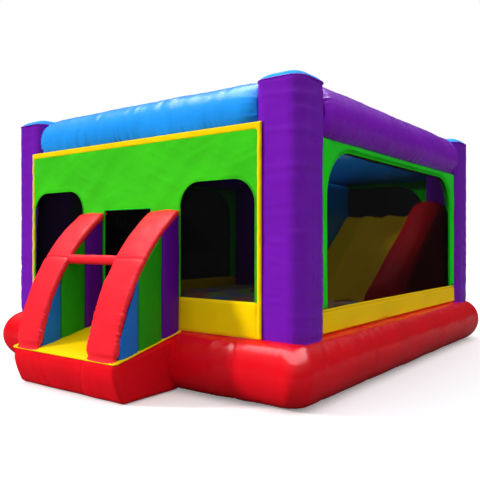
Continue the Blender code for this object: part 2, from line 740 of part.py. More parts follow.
def build_switch(side):
    """A switch box beside the motor, with a rocker in its recess."""
    dark = material("blower_dark", GREY, 0.5)
    high = side + SWITCH_DEPTH
    half_y, half_z = SWITCH_HALF
    sides = (SWITCH_Y - half_y, SWITCH_Y + half_y, SWITCH_Z - half_z, SWITCH_Z + half_z)
    case = prism("blower_switch_box", box_outline(*sides), "x", side + GAP, high, dark)
    half_y, half_z = RECESS_HALF
    sides = (SWITCH_Y - half_y, SWITCH_Y + half_y, SWITCH_Z - half_z, SWITCH_Z + half_z)
    floor = high - RECESS_DEPTH
    recess = prism("recess", box_outline(*sides), "x", floor, high + OVERCUT, dark)
    combine(case, recess, "DIFFERENCE")

    pivot_x = high - ROCKER_SINK
    half_y, half_z = ROCKER_HALF
    lower = [(-0.005, 0.0), (0.0, 0.001 - half_z), (0.007, -half_z)]
    upper = [(0.003, 0.0), (0.007, half_z), (0.0, half_z - 0.001)]
    profile = [(pivot_x + u, SWITCH_Z + v) for u, v in lower + upper]
    ends = (SWITCH_Y - half_y, SWITCH_Y + half_y)
    rings = [[(x, y, z) for x, z in profile] for y in ends]
    rocker = loft("blower_rocker", rings, material("rocker", RED, 0.4))
    put_origin(rocker, (pivot_x, SWITCH_Y, SWITCH_Z))


def build_inflation_tube():
    """Fabric sleeve from the base bumper to the blower's nozzle."""
    start = BUMPER_BACK_Y + CLEAR
    nozzle_z = BLOWER_Z + (NOZZLE_RISE - SCROLL_LARGE) / 2
    sections = (
        (start, TUBE_Z, 1.0),
        (start + 0.10, TUBE_Z - 0.02, 1.06),
        (NOZZLE_Y - 0.10, nozzle_z + 0.01, 1.0),
        (NOZZLE_Y - 0.01, nozzle_z, 0.9),
    )
    rings = []
    for y, z, scale in sections:
        circle = arc((BLOWER_X, z), TUBE_RADIUS * scale, 0, 360, 20)[:-1]
        rings.append([(u, y, v) for u, v in circle])
    shade(hollow(loft("inflation_tube", rings, vinyl("red", RED), False, False)))


def build_anchors():
    """Webbing tabs low on the back of the base, with a D-ring in each loop."""
    face_y = BUMPER_BACK_Y + CLEAR
    web_y = face_y + WEBBING
    loop_y = face_y + LOOP_RADIUS
    grey = material("webbing", GREY, 0.8)
    for side, sign in (("left", -1), ("right", 1)):
        centre_x = sign * ANCHOR_X
        low = centre_x - ANCHOR_HALF
        high = centre_x + ANCHOR_HALF
        shoulder = math.degrees(math.acos((LOOP_RADIUS - WEBBING) / LOOP_RADIUS))
        loop = arc((loop_y, ANCHOR_Z), LOOP_RADIUS, 180 - shoulder, 540, 12)
        loop[-1] = (face_y, ANCHOR_Z)
        outline = [(face_y, PORT_Z), (web_y, PORT_Z), (web_y, loop[0][1])] + loop[1:]
        hole = arc((loop_y, ANCHOR_Z), LOOP_BORE, 0, 360, 12)[:-1]
        pierced(f"anchor_tab_{side}", outline, [hole], "x", low, high, grey)
        ring = build_ring(f"anchor_ring_{side}", centre_x, loop_y, ANCHOR_Z)
        put_origin(ring, (centre_x, loop_y, ANCHOR_Z))


def build_ring(name, x, y, z):
    """D-ring: a straight bar through the loop and a half circle hanging from it."""
    path = [(RING_CORNER - RING_HALF, 0.0), (RING_HALF - RING_CORNER, 0.0)]
    directions = [0.0, 0.0]
    bow = arc((0.0, -RING_CORNER), RING_HALF, 0, -180, 12)
    for i, point in enumerate(bow):
        path.append(point)
        directions.append(-90.0 - 180.0 * i / (len(bow) - 1))
    rings = []
    for (u, w), heading in zip(path, directions):
        along = Vector((math.cos(math.radians(heading)), 0.0, math.sin(math.radians(heading))))
        side = Vector((-along.z, 0.0, along.x))
        ring = []
        for k in range(RING_SIDES):
            angle = 2 * math.pi * k / RING_SIDES
            offset = side * (RING_WIRE * math.cos(angle))
            offset += Vector((0.0, RING_WIRE * math.sin(angle), 0.0))
            ring.append(Vector((x + u, y, z + w)) + offset)
        rings.append(ring)
    rings.append(rings[0])
    return shade(loft(name, rings, material("steel", STEEL, 0.3, 1.0), False, False))


def build_port():
    """Zip slider and its cover flap, which hinges along its top edge."""
    face_y = BUMPER_BACK_Y + CLEAR
    slider_x = PORT_X - PORT_HALF + PORT_END
    half, high = SLIDER_HALF
    slider = [(-half, -high), (half - 0.004, -high), (half, 0.0), (half - 0.004, high), (-half, high)]
    outline = [(slider_x + u, PORT_Z + v) for u, v in slider]
    steel = material("steel", STEEL, 0.3, 1.0)
    prism("zip_slider", outline, "y", face_y, face_y + SLIDER_THICK, steel)

    near = face_y + FLAP_STAND_OFF
    reach = PORT_HALF + PORT_END
    flap = [(-reach, FLAP_HALF), (-reach, FLAP_CORNER - FLAP_HALF)]
    flap += [(FLAP_CORNER - reach, -FLAP_HALF), (reach - FLAP_CORNER, -FLAP_HALF)]
    flap += [(reach, FLAP_CORNER - FLAP_HALF), (reach, FLAP_HALF)]
    outline = [(PORT_X + u, PORT_Z + v) for u, v in flap]
    cover = prism("deflation_flap", outline, "y", near, near + FLAP_THICK, vinyl("red", RED))
    half_thick = FLAP_THICK / 2
    put_origin(cover, (PORT_X, near + half_thick, PORT_Z + FLAP_HALF + half_thick))


def main():
    clear_scene()
    build_base()
    build_columns()
    build_beams()
    build_walls()
    build_front()
    build_ramp()
    build_arches()
    build_curtain()
    build_slide()
    build_blower()
    build_inflation_tube()
    build_anchors()
    build_port()


main()
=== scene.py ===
"""The looks of the inflatable bounce house: puffed vinyl, seams, nets and the blower's details."""

import math

import bmesh
import bpy
import numpy as np
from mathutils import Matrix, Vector


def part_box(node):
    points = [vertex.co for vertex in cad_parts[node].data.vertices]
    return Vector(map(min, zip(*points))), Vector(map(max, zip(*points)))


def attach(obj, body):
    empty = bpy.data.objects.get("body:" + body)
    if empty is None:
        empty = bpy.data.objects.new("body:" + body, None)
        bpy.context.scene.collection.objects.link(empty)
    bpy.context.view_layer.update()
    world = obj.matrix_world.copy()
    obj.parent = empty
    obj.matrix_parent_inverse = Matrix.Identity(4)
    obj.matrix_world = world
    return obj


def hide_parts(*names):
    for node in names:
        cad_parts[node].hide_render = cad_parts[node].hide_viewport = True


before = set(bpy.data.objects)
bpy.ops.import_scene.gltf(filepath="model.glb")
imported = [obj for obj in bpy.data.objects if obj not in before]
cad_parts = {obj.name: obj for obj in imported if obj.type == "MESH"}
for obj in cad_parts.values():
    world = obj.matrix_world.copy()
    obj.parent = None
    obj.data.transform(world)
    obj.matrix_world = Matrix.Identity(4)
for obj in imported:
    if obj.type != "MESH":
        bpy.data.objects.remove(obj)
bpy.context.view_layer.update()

RED = (0.84, 0.0035, 0.012)
PURPLE = (0.18, 0.006, 0.46)
# a lighter copy of the purple for the side beams, painted light
LIT_BEAM_PURPLE = (0.27, 0.007, 0.62)
BLUE = (0.015, 0.33, 0.95)
GREEN = (0.05, 0.60, 0.012)
DARK_GREEN = (0.010, 0.76, 0.012)
YELLOW = (1.0, 0.66, 0.0)
PINK = (0.95, 0.010, 0.024)
TAN = (0.50, 0.36, 0.20)

SCRIM_PITCH = 0.0022
SCRIM_DEPTH = (0.10, 0.0006)
DOT_PITCH = 0.40
DOT_RADIUS = 0.31
TURN = 2 * math.pi


# --- materials

class Graph:
    """A node tree with short ways to add, feed and join its nodes."""

    def __init__(self, owner):
        owner.use_nodes = True
        self.owner = owner
        self.tree = owner.node_tree

    def put(self, socket, value):
        """Joins another node's output to an input, or gives it a fixed value."""
        if isinstance(value, bpy.types.NodeSocket):
            self.tree.links.new(value, socket)
        else:
            socket.default_value = value

    def add(self, kind, *feeds, **values):
        """Adds a shader node; values go in by name and feeds to its inputs in order."""
        made = self.tree.nodes.new("ShaderNode" + kind)
        for key, value in values.items():
            if hasattr(made, key):
                setattr(made, key, value)
            else:
                self.put(made.inputs[key.replace("_", " ")], value)
        for socket, value in zip(made.inputs, feeds):
            self.put(socket, value)
        return made

    def math(self, operation, *feeds):
        return self.add("Math", *feeds, operation=operation).outputs["Value"]

    def vector(self, operation, *feeds, **values):
        return self.add("VectorMath", *feeds, operation=operation, **values).outputs["Vector"]

    def remap(self, value, low, high, out_low, out_high):
        return self.add("MapRange", value, low, high, out_low, out_high).outputs["Result"]

    def ray(self, kind, low, high):
        """One number for rays of a kind, such as Is Camera Ray, and another for the rest."""
        return self.remap(self.add("LightPath").outputs[kind], 0.0, 1.0, low, high)

    def tint(self, colour, factor):
        """A colour scaled by a varying factor."""
        return self.vector("SCALE", colour, Scale=factor)


class Look(Graph):
    """A material with a Principled shader, in the object's own coordinates."""

    def __init__(self, name):
        super().__init__(bpy.data.materials.new(name))
        self.shader = self.tree.nodes["Principled BSDF"]
        self.place = self.add("TexCoord").outputs["Object"]

    def surface(self, **values):
        for key, value in values.items():
            self.put(self.shader.inputs[key.replace("_", " ")], value)

    def noise(self, scale, detail=4.0, stretch=(1.0, 1.0, 1.0), turn=0.0, kind="FBM"):
        """Noise stretched along the axes, then turned by some degrees about Y."""
        size = [1.0 / share for share in stretch]
        lean = (0.0, math.radians(turn), 0.0)
        spread = self.add("Mapping", self.place, vector_type="TEXTURE", Scale=size, Rotation=lean)
        texture = self.add("TexNoise", spread.outputs["Vector"], noise_type=kind, Scale=scale,
                           Detail=detail, Roughness=0.55)
        return texture.outputs["Fac"]

    def ridges(self, scale, stretch, turn=0.0):
        return self.noise(scale, 2.0, stretch, turn, "RIDGED_MULTIFRACTAL")

    def ribs(self, direction, scale):
        return self.add("TexWave", self.place, bands_direction=direction, Scale=scale).outputs["Fac"]

    def weave(self, pitch=SCRIM_PITCH):
        """The scrim that shows through coated fabric: two crossed sets of fine ribs."""
        return self.math("MULTIPLY", self.ribs("X", 0.5 / pitch), self.ribs("Z", 0.5 / pitch))

    def bumps(self, *heights):
        """Stacks bumps; each is (height output, strength, distance)."""
        under = {}
        for height, strength, distance in heights:
            bump = self.add("Bump", Strength=strength, Distance=distance, Height=height, **under)
            under = {"Normal": bump.outputs["Normal"]}
        self.surface(**under)
        return self.owner


def vinyl(name, colour, gloss=0.36, coat=0.08, wrinkle=0.16, blotch=0.12, shine=0.13, folds=None):
    """Coated fabric: faint blotches, scrim, soft creases and scuffed gloss."""
    look = Look("vinyl_" + name)
    shade = look.remap(look.noise(1.7, 5.0), 0.3, 0.7, 1.0 - blotch, 1.0 + blotch * 0.4)
    scuff = look.remap(look.noise(9.0, 6.0), 0.3, 0.75, gloss * 0.8, gloss * 1.35)
    look.surface(Base_Color=look.tint(colour, shade), Roughness=scuff, Coat_Weight=coat,
                 Coat_Roughness=0.18, Specular_IOR_Level=shine)
    heights = [(look.weave(), *SCRIM_DEPTH), (look.noise(5.5, 6.0, (1.0, 1.0, 0.45)), wrinkle, 0.012)]
    if folds is not None:
        heights.append((look.ridges(1.0, folds), 0.55, 0.022))
    return look.bumps(*heights)


def banner(name, colour):
    """Stretched panel vinyl with fine diagonal creases; its colour is darker in the soft folds' hollows,
    painted shade, and slightly lighter on their crests, painted light.
    """
    look = Look("vinyl_" + name)
    sweep = look.noise(1.5, 4.0, (0.45, 1.0, 1.9), 32)
    total = look.math("ADD", sweep, look.noise(2.0, 4.0, (0.55, 1.0, 1.6), -20))
    # the colour follows the folds' height, the same height as the last bump: painted shade in the hollows,
    # painted light on the crests
    look.surface(Base_Color=look.tint(colour, look.remap(total, 0.78, 1.22, 0.88, 1.02)),
                 Roughness=0.55, Specular_IOR_Level=0.05)
    return look.bumps(
        (look.weave(), *SCRIM_DEPTH),
        (look.ridges(0.9, (1.0, 1.0, 4.0), 24), 0.8, 0.016),
        (look.ridges(1.9, (1.0, 1.0, 5.0), 24), 0.8, 0.012),
        (look.ridges(1.6, (1.0, 1.0, 5.0), -15), 0.8, 0.010),
        (total, 0.36, 0.006),
    )


def netting(name, see_through):
    """Knitted netting: black yarn with a fine pattern of holes."""
    look = Look("net_" + name)
    look.surface(Base_Color=(0.0015, 0.0015, 0.002, 1.0), Roughness=0.8, Specular_IOR_Level=0.02)
    share = look.remap(look.noise(160.0, 2.0), 0.35, 0.65, see_through * 0.75, see_through * 1.25)
    clear = look.add("BsdfTransparent").outputs["BSDF"]
    mix = look.add("MixShader", share, look.shader.outputs["BSDF"], clear)
    look.put(look.tree.nodes["Material Output"].inputs["Surface"], mix.outputs["Shader"])
    return look.bumps((look.weave(0.006), 0.5, 0.002))


def dotted_floor():
    """Tan bounce floor with rows of coloured dots."""
    look = Look("floor_dots")
    cell = look.vector("SCALE", look.place, Scale=1.0 / DOT_PITCH)
    level = (1.0, 1.0, 0.0)
    inside = look.vector("MULTIPLY", look.vector("FRACTION", cell), level)
    middle = look.add("VectorMath", inside, (0.5, 0.5, 0.0), operation="DISTANCE").outputs["Value"]
    corner = look.vector("MULTIPLY", look.vector("FLOOR", cell), level)
    pick = look.add("TexWhiteNoise", corner, noise_dimensions="3D").outputs["Value"]
    ramp = look.add("ValToRGB", pick)
    colours = (RED, BLUE, GREEN, PURPLE)
    stops = ramp.color_ramp
    stops.interpolation = "CONSTANT"
    stops.elements[1].position = 1 / len(colours)
    for k in range(2, len(colours)):
        stops.elements.new(k / len(colours))
    for element, colour in zip(stops.elements, colours):
        element.color = (*colour, 1.0)
    mix = look.add("Mix", data_type="RGBA", Factor=look.math("LESS_THAN", middle, DOT_RADIUS))
    under, over = [socket for socket in mix.inputs if socket.type == "RGBA"]
    look.put(under, (*TAN, 1.0))
    look.put(over, ramp.outputs["Color"])
    result = [socket for socket in mix.outputs if socket.type == "RGBA"][0]
    look.surface(Base_Color=result, Roughness=0.55)
    return look.bumps((look.weave(0.003), 0.15, 0.0008))


def plastic(name, colour, roughness=0.45, metallic=0.0, grain=0.0012):
    """Moulded plastic or metal with a fine grain and worn patches."""
    look = Look(name)
    wear = look.noise(30.0, 6.0)
    look.surface(Base_Color=look.tint(colour, look.remap(wear, 0.3, 0.75, 0.92, 1.08)),
                 Roughness=look.remap(wear, 0.3, 0.7, roughness * 0.8, roughness * 1.3), Metallic=metallic)
    return look.bumps((look.noise(1.0 / grain, 2.0), 0.12, 0.0004))


def webbing(name, colour):
    look = Look(name)
    rib = look.ribs("DIAGONAL", 140.0)
    look.surface(Base_Color=look.tint(colour, look.remap(rib, 0, 1, 0.6, 1.3)), Roughness=0.85)
    return look.bumps((rib, 0.4, 0.001))


# slot, colour, gloss, coat, wrinkle, blotch, shine and fold stretch of each vinyl
VINYLS = {
    "red": ("red", RED, 0.17, 0.0, 0.30, 0.12, 0.34, (6.0, 6.0, 1.3)),
    "red_soft": ("red", RED, 0.48, 0.0, 0.30, 0.12, 0.10, (5.0, 5.0, 1.2)),
    "purple": ("purple", PURPLE, 0.34, 0.0, 0.14, 0.10, 0.20, (1.6, 1.6, 9.0)),
    # the side beams' purple: a lighter copy of the purple, painted light
    "purple_beam_lit": ("purple", LIT_BEAM_PURPLE, 0.24, 0.0, 0.20, 0.12, 0.24, (1.5, 7.0, 1.5)),
    # purple_tube: a darker copy of the purple for the arch tubes, painted shade on their outer sides
    "purple_tube": ("purple", (0.12, 0.004, 0.30), 0.42, 0.0),
    "blue": ("blue", BLUE, 0.20, 0.0, 0.20, 0.12, 0.26, (6.0, 1.5, 1.5)),
    "blue_cap": ("blue", BLUE, 0.5, 0.0, 0.10, 0.08, 0.05),
    # blue_tube: a darker copy of the blue for the arch tubes, painted shade on their outer sides
    "blue_tube": ("blue", (0.010, 0.17, 0.60), 0.42, 0.0),
    "green": ("green", GREEN, 0.42, 0.04),
    # green_tube: a darker copy of the green for the arch tubes, painted shade on their outer sides
    "green_tube": ("green", (0.020, 0.33, 0.006), 0.45, 0.0),
    "dark_green": ("dark_green", DARK_GREEN, 0.45, 0.02, 0.10),
    "yellow": ("yellow", YELLOW, 0.55, 0.0, 0.10, 0.06, 0.08),
    "pink": ("pink", PINK, 0.42, 0.0, 0.10, 0.05, 0.36),
}
# each look: the record's slot it stands for, and its material
LOOKS = {name: ("vinyl_" + slot, vinyl(name, *values)) for name, (slot, *values) in VINYLS.items()}
LOOKS.update({
    "panel": ("vinyl_green", banner("panel", GREEN)),
    "net": ("net", netting("front", 0.26)),
    "net_side": ("net", netting("side", 0.33)),
    "net_rear": ("net", netting("rear", 0.14)),
    "curtain": ("net", netting("curtain", 0.03)),
    "floor": ("floor_cover", dotted_floor()),
    "webbing": ("webbing", webbing("webbing_black", (0.03, 0.03, 0.032))),
    "thread": ("webbing", webbing("thread_white", (0.75, 0.75, 0.72))),
    "steel": ("steel", plastic("steel_plated", (0.60, 0.61, 0.63), 0.25, 1.0)),
    "shell": ("blower_shell", plastic("blower_shell", (0.02, 0.16, 0.55), 0.42)),
    "dark": ("blower_dark", plastic("blower_dark", (0.03, 0.03, 0.034), 0.5)),
    "fan": ("impeller", plastic("fan_grey", (0.12, 0.12, 0.13), 0.5)),
    "rocker": ("rocker", plastic("rocker_red", (0.65, 0.02, 0.02), 0.3)),
})


# --- mesh tools

def paint(item, look):
    slot, material = LOOKS[look]
    item.data.materials.clear()
    item.data.materials.append(material)


def finish(item, look, *stands_for, body="house"):
    """Puts a piece on its body, with its look and the solids it stands for."""
    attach(item, body)
    paint(item, look)
    if stands_for:
        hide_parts(*stands_for)


def add_object(name, data):
    item = bpy.data.objects.new(name, data)
    bpy.context.scene.collection.objects.link(item)
    return item


def soften(bm, mesh):
    """Ends work on a mesh: smooth faces with creases kept sharp."""
    bm.to_mesh(mesh)
    bm.free()
    mesh.shade_smooth()
    mesh.set_sharp_from_angle(angle=math.radians(50))
    return mesh


def new_object(name, verts, faces):
    mesh = bpy.data.meshes.new(name)
    mesh.from_pydata([tuple(v) for v in verts], [], faces)
    bm = bmesh.new()
    bm.from_mesh(mesh)
    bmesh.ops.remove_doubles(bm, verts=bm.verts[:], dist=0.00002)
    bmesh.ops.recalc_face_normals(bm, faces=bm.faces[:])
    return add_object(name, soften(bm, mesh))


def merge(name, items):
    """One object from several, which are used up."""
    bm = bmesh.new()
    for item in items:
        bm.from_mesh(item.data)
        bpy.data.objects.remove(item, do_unlink=True)
    return add_object(name, soften(bm, bpy.data.meshes.new(name)))


def cloud(*parts):
    """Points from their separate coordinates, spread to a common grid."""
    return np.stack(np.broadcast_arrays(*parts), -1)


def turned(order, along, across, z):
    """Points whose first coordinate runs along X (0) or Y (1)."""
    return cloud(along, across, z) if order == 0 else cloud(across, along, z)


def grid_faces(rows, columns, wrap_rows=False, wrap_columns=False, offset=0):
    faces = []
    for i in range(rows if wrap_rows else rows - 1):
        a = offset + i * columns
        b = offset + ((i + 1) % rows) * columns
        for j in range(columns if wrap_columns else columns - 1):
            k = (j + 1) % columns
            faces.append((a + j, a + k, b + k, b + j))
    return faces


def skin(name, points, wrap_rows=False, caps=True):
    """A surface through rings of points, closed by its two end faces."""
    rows, columns = points.shape[:2]
    faces = grid_faces(rows, columns, wrap_rows, True)
    if caps:
        faces.append(tuple(range(columns)))
        faces.append(tuple(range((rows - 1) * columns, rows * columns)))
    return new_object(name, points.reshape(-1, 3), faces)


def closed_sheet(name, front, back, faces):
    """Two matching sheets, joined all round their rims."""
    total = front.size // 3
    edges = dict.fromkeys(pair for face in faces for pair in zip(face, face[1:] + face[:1]))
    every = faces + [tuple(k + total for k in reversed(face)) for face in faces]
    every += [(b, a, a + total, b + total) for a, b in edges if (b, a) not in edges]
    verts = np.concatenate((front.reshape(-1, 3), back.reshape(-1, 3)))
    used = sorted({k for face in every for k in face})
    order = {k: i for i, k in enumerate(used)}
    return new_object(name, verts[used], [tuple(order[k] for k in face) for face in every])


def waves(position, per_metre, seed, count=7):
    """A smooth random line, about -1 to 1, along one or more coordinates."""
    rng = np.random.default_rng(seed)
    position = np.asarray(position, float)
    total = np.zeros(position.shape[:-1])
    for _ in range(count):
        direction = rng.normal(size=position.shape[-1])
        direction /= np.linalg.norm(direction)
        speed = TURN * per_metre * rng.uniform(0.5, 1.5)
        total += np.sin(speed * (position @ direction) + rng.uniform(0, TURN))
    return total / math.sqrt(count)


def swell(spot, seed, *layers):
    """Adds up soft waves; each layer is (depth, waves per metre, stretch)."""
    return sum(depth * waves(spot * stretch, pace, seed + k) for k, (depth, pace, stretch) in enumerate(layers))


def pleats(along, away, per_metre, depth, reach, seed):
    """Gathers at a seam: narrow folds across it that die away from it."""
    line = waves(along[..., None], per_metre, seed)
    slow = 0.6 + 0.4 * waves(along[..., None], per_metre * 0.15, seed + 1)
    ridge = np.abs(line) ** 0.7 * np.clip(slow, 0.1, 1.3)
    return -depth * ridge * np.exp(-np.abs(away) / reach)


def bell(distance, width):
    return np.exp(-((distance / width) ** 2))


def groove(distance, depth, width):
    return -depth * bell(distance, width)


def stripe(position, pitch, start=0.0):
    """Distance to the nearest of a row of evenly spaced lines."""
    return np.abs((position + start) % pitch - pitch / 2)


def ripple(per_metre, depth, seed):
    """Gentle ripples that fade towards a sheet's edges."""
    return lambda u, v, away: depth * waves(cloud(u, v), per_metre, seed) * away


def drag(seed, depth):
    """Soft diagonal folds that fade towards a sheet's edges."""
    def wave(u, v, away):
        folds = waves(cloud(u + v * 0.7, (u - v) * 0.35), 2.2, seed)
        folds = folds + 0.8 * waves(cloud(u - v * 0.8, (u + v) * 0.3), 2.6, seed + 1)
        return depth * folds * away + 0.15 * depth * waves(cloud(u, v), 9.0, seed + 2) * away
    return wave


def rounded_rect(half_x, half_y, radius, steps, side_steps=1):
    """Closed outline, its outward normals and the distance along it."""
    points, normals = [], []
    corners = ((1, 1), (-1, 1), (-1, -1), (1, -1))
    centres = [np.array((x * (half_x - radius), y * (half_y - radius))) for x, y in corners]
    for k, centre in enumerate(centres):
        for i in range(steps + 1):
            angle = math.radians(90 * k + 90 * i / steps)
            normals.append((math.cos(angle), math.sin(angle)))
            points.append(centre + radius * np.array(normals[-1]))
        last, ahead = points[-1], centres[(k + 1) % 4] - centre
        for i in range(1, side_steps):
            points.append(last + ahead * (i / side_steps))
            normals.append(normals[-1])
    points, normals = np.array(points), np.array(normals)
    lengths = np.linalg.norm(np.diff(points, axis=0, append=points[:1]), axis=1)
    return points, normals, np.r_[0.0, np.cumsum(lengths)[:-1]]


def soft_box(name, low, high, radius, step=0.05, bulge=(0, 0, 0), shape=None):
    """A closed rounded box with swollen faces; shape may move its points."""
    low, high = np.array(low, float), np.array(high, float)
    size = high - low
    count = [max(4, int(round(size[i] / step))) for i in range(3)]
    verts, faces, start = [], [], 0
    for axis in range(3):
        u, v = [i for i in range(3) if i != axis]
        a, b = np.meshgrid(np.linspace(0, 1, count[u] + 1), np.linspace(0, 1, count[v] + 1), indexing="ij")
        for side in (0.0, 1.0):
            p = np.empty(a.shape + (3,))
            p[..., axis], p[..., u], p[..., v] = side, a, b
            faces += grid_faces(*a.shape, offset=start)
            start += a.size
            verts.append(p.reshape(-1, 3))
    p = np.concatenate(verts)
    world = low + p * size
    reach = np.minimum(radius, size / 2 - 1e-4)
    core = np.clip(world, low + reach, high - reach)
    away = world - core
    length = np.linalg.norm(away / reach, axis=1, keepdims=True)
    world = core + np.where(length > 0, away / np.maximum(length, 1e-9), 0.0)
    q = 2 * p - 1
    for axis in range(3):
        u, v = [i for i in range(3) if i != axis]
        puff = bulge[axis] * (1 - q[:, u] ** 2) * (1 - q[:, v] ** 2)
        world[:, axis] += puff * np.sign(q[:, axis]) * np.abs(q[:, axis]) ** 4
    return new_object(name, world if shape is None else shape(world), faces)


def cord(name, path, radius, sides=8, closed=False):
    """A round cord swept along 3-D points."""
    path = np.array(path, float)
    if closed:
        ahead, behind = np.roll(path, -1, axis=0), np.roll(path, 1, axis=0)
    else:
        ahead, behind = np.vstack((path[1:], path[-1:])), np.vstack((path[:1], path[:-1]))
    tangent = ahead - behind
    tangent /= np.linalg.norm(tangent, axis=1, keepdims=True)
    upright = abs(tangent[:, 2]).max() >= 0.9
    side = np.cross(tangent, (0.31, 0.2, 0.93) if upright else (0.0, 0.0, 1.0))
    side /= np.linalg.norm(side, axis=1, keepdims=True)
    up = np.cross(side, tangent)
    angle = np.linspace(0, TURN, sides, endpoint=False)[None, :, None]
    ring = side[:, None] * np.cos(angle) + up[:, None] * np.sin(angle)
    return skin(name, path[:, None] + radius * ring, closed, not closed)


def edging(name, look, path, radius, sides=8, closed=False):
    """A cord that is a piece of its own, such as piping or a hem."""
    finish(cord(name, path, radius, sides, closed), look)


def facing(axis, middle, outward):
    """Places sheet points (u, v, depth) square to X (0) or Y (1)."""
    return lambda u, v, depth: turned(axis, middle + outward * depth, u, v)


def circle(x, y, z, radius, count):
    """Points round a circle that faces along X."""
    angle = np.linspace(0, TURN, count, endpoint=False)
    return cloud(x, y + radius * np.cos(angle), z + radius * np.sin(angle))


def panel(name, wide, tall, holes, place, thick=0.10, edge=0.05, step=0.03, wave=None):
    """A padded sheet with rounded openings; place turns (u, v, depth) into points."""
    us = np.linspace(*wide, int((wide[1] - wide[0]) / step) + 1)
    vs = np.linspace(*tall, int((tall[1] - tall[0]) / step) + 1)
    u, v = np.meshgrid(us, vs, indexing="ij")

    def clear(u, v):
        """Distance from the nearest opening, negative inside it."""
        best = np.full(u.shape, 9.0)
        for low_u, high_u, low_v, high_v, turn in holes:
            a = np.abs(u - (low_u + high_u) / 2) - ((high_u - low_u) / 2 - turn)
            b = np.abs(v - (low_v + high_v) / 2) - ((high_v - low_v) / 2 - turn)
            far = np.hypot(np.maximum(a, 0), np.maximum(b, 0)) + np.minimum(np.maximum(a, b), 0) - turn
            best = np.minimum(best, far)
        return best

    small = 1e-4
    for _ in range(3):
        far = clear(u, v)
        slope_u = (clear(u + small, v) - far) / small
        slope_v = (clear(u, v + small) - far) / small
        near = (far > -0.8 * step) & (far < 0.3 * step)
        u = np.where(near, u - slope_u * far, u)
        v = np.where(near, v - slope_v * far, v)
    u, v = np.clip(u, *wide), np.clip(v, *tall)
    keep = (clear(u, v) > -1e-3).ravel()
    border = np.minimum.reduce((u - wide[0], wide[1] - u, v - tall[0], tall[1] - v))
    away = np.clip(np.minimum(clear(u, v), border) / edge, 0, 1)
    half = thick / 2 * np.sqrt(np.clip(1 - (1 - away) ** 2, 0.01, 1))
    shift = wave(u, v, away) if wave is not None else 0.0
    faces = [face for face in grid_faces(*u.shape) if all(keep[k] for k in face)]
    return closed_sheet(name, place(u, v, half + shift), place(u, v, shift - half), faces)


def arched_path(left, right, foot, top, turn, straight=(20, 30), steps=12):
    """Up an arched outline's right side, over its rounded top and down its left side."""
    side, across = straight
    bend = np.linspace(0, math.pi / 2, steps)[1:]
    level = top + turn * np.sign(foot - top)
    over = top - level
    line = [(right, v) for v in np.linspace(foot, level, side)]
    line += [(right - turn + turn * math.cos(t), level + over * math.sin(t)) for t in bend]
    line += [(u, top) for u in np.linspace(right - turn, left + turn, across)[1:]]
    line += [(left + turn - turn * math.sin(t), level + over * math.cos(t)) for t in bend]
    line += [(left, v) for v in np.linspace(level, foot, side)[1:]]
    return np.array(line)


def low_high(name):
    low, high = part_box(name)
    return np.array(low), np.array(high)


# --- base and floor

MATTRESS_LOW, MATTRESS_HIGH = low_high("base_mattress")
BASE_TOP = float(MATTRESS_HIGH[2])
BASE_ROUND = 0.12
BUMPER_FLAT = 0.08
BUMPER_OUT = float(low_high("base_bumper")[1][0] - MATTRESS_HIGH[0])
CORNER_SPREAD = 0.25
SEAM_PITCH = 0.92
# nodes that need the bumper calm behind them, and the margin round each
CALM_SPOTS = (("deflation_flap", 0.03), ("anchor_tab_left", 0.05), ("anchor_tab_right", 0.05))
FLOOR_TUBE = 0.48


def build_bumper():
    """The swollen ring: gathered along its top and ground seams, grooved at its panel seams."""
    outline, normals, along = rounded_rect(*MATTRESS_HIGH[:2], BASE_ROUND, 14, 150)
    half = BASE_TOP / 2
    angle = np.radians(np.linspace(90, -90, 56))
    out = np.r_[-0.04, BUMPER_FLAT + (BUMPER_OUT - BUMPER_FLAT) * np.cos(angle), -0.02]
    height = np.r_[BASE_TOP, half + half * np.sin(angle), 0.0]
    lean_out = np.r_[0.0, np.cos(angle), 0.0][:, None]
    lean_up = np.r_[1.0, np.sin(angle), -1.0][:, None]
    s, h = np.meshgrid(along, height)
    arc_top = np.r_[0.0, (np.pi / 2 - angle) * 0.27, 0.9][:, None]
    arc_low = np.r_[0.9, (np.pi / 2 + angle) * 0.27, 0.0][:, None]
    spot = cloud(outline[:, 0], outline[:, 1], h)
    bump = swell(spot, 11, (0.004, 1.2, (1, 1, 1.6)), (0.0012, 5.0, (1, 1, 0.5)))
    bump += pleats(s, arc_top, 9.0, 0.014, 0.10, 13) + pleats(s, arc_low, 7.0, 0.016, 0.10, 15)
    bump += pleats(s, arc_top * 0.45, 14.0, 0.006, 0.10, 17)
    seam = stripe(s, SEAM_PITCH, 0.35)
    bump += groove(seam, 0.008, 0.014) + groove(seam, 0.012, 0.05) * np.exp(-arc_low / 0.22)
    bump *= lean_out**0.5
    calm = np.zeros(s.shape)
    for name, margin in CALM_SPOTS:
        low, high = low_high(name)
        off = np.maximum(low[0] - spot[..., 0], spot[..., 0] - high[0]) - margin
        calm = np.maximum(calm, np.clip(1 - off / 0.08, 0, 1) * (spot[..., 1] > MATTRESS_HIGH[1] - 0.01))
    bump = bump * (1 - calm) - 0.003 * calm
    rows = [rounded_rect(*(MATTRESS_HIGH[:2] + far), BASE_ROUND + CORNER_SPREAD * far, 14, 150)[0]
            for far in out]
    ring = np.array(rows) + normals * (bump * lean_out)[..., None]
    z = np.clip(height[:, None] + bump * lean_up, 0.0, BASE_TOP + 0.004)
    bumper = skin("bumper_puffed", cloud(ring[..., 0], ring[..., 1], z), caps=False)
    finish(bumper, "red", "base_bumper")


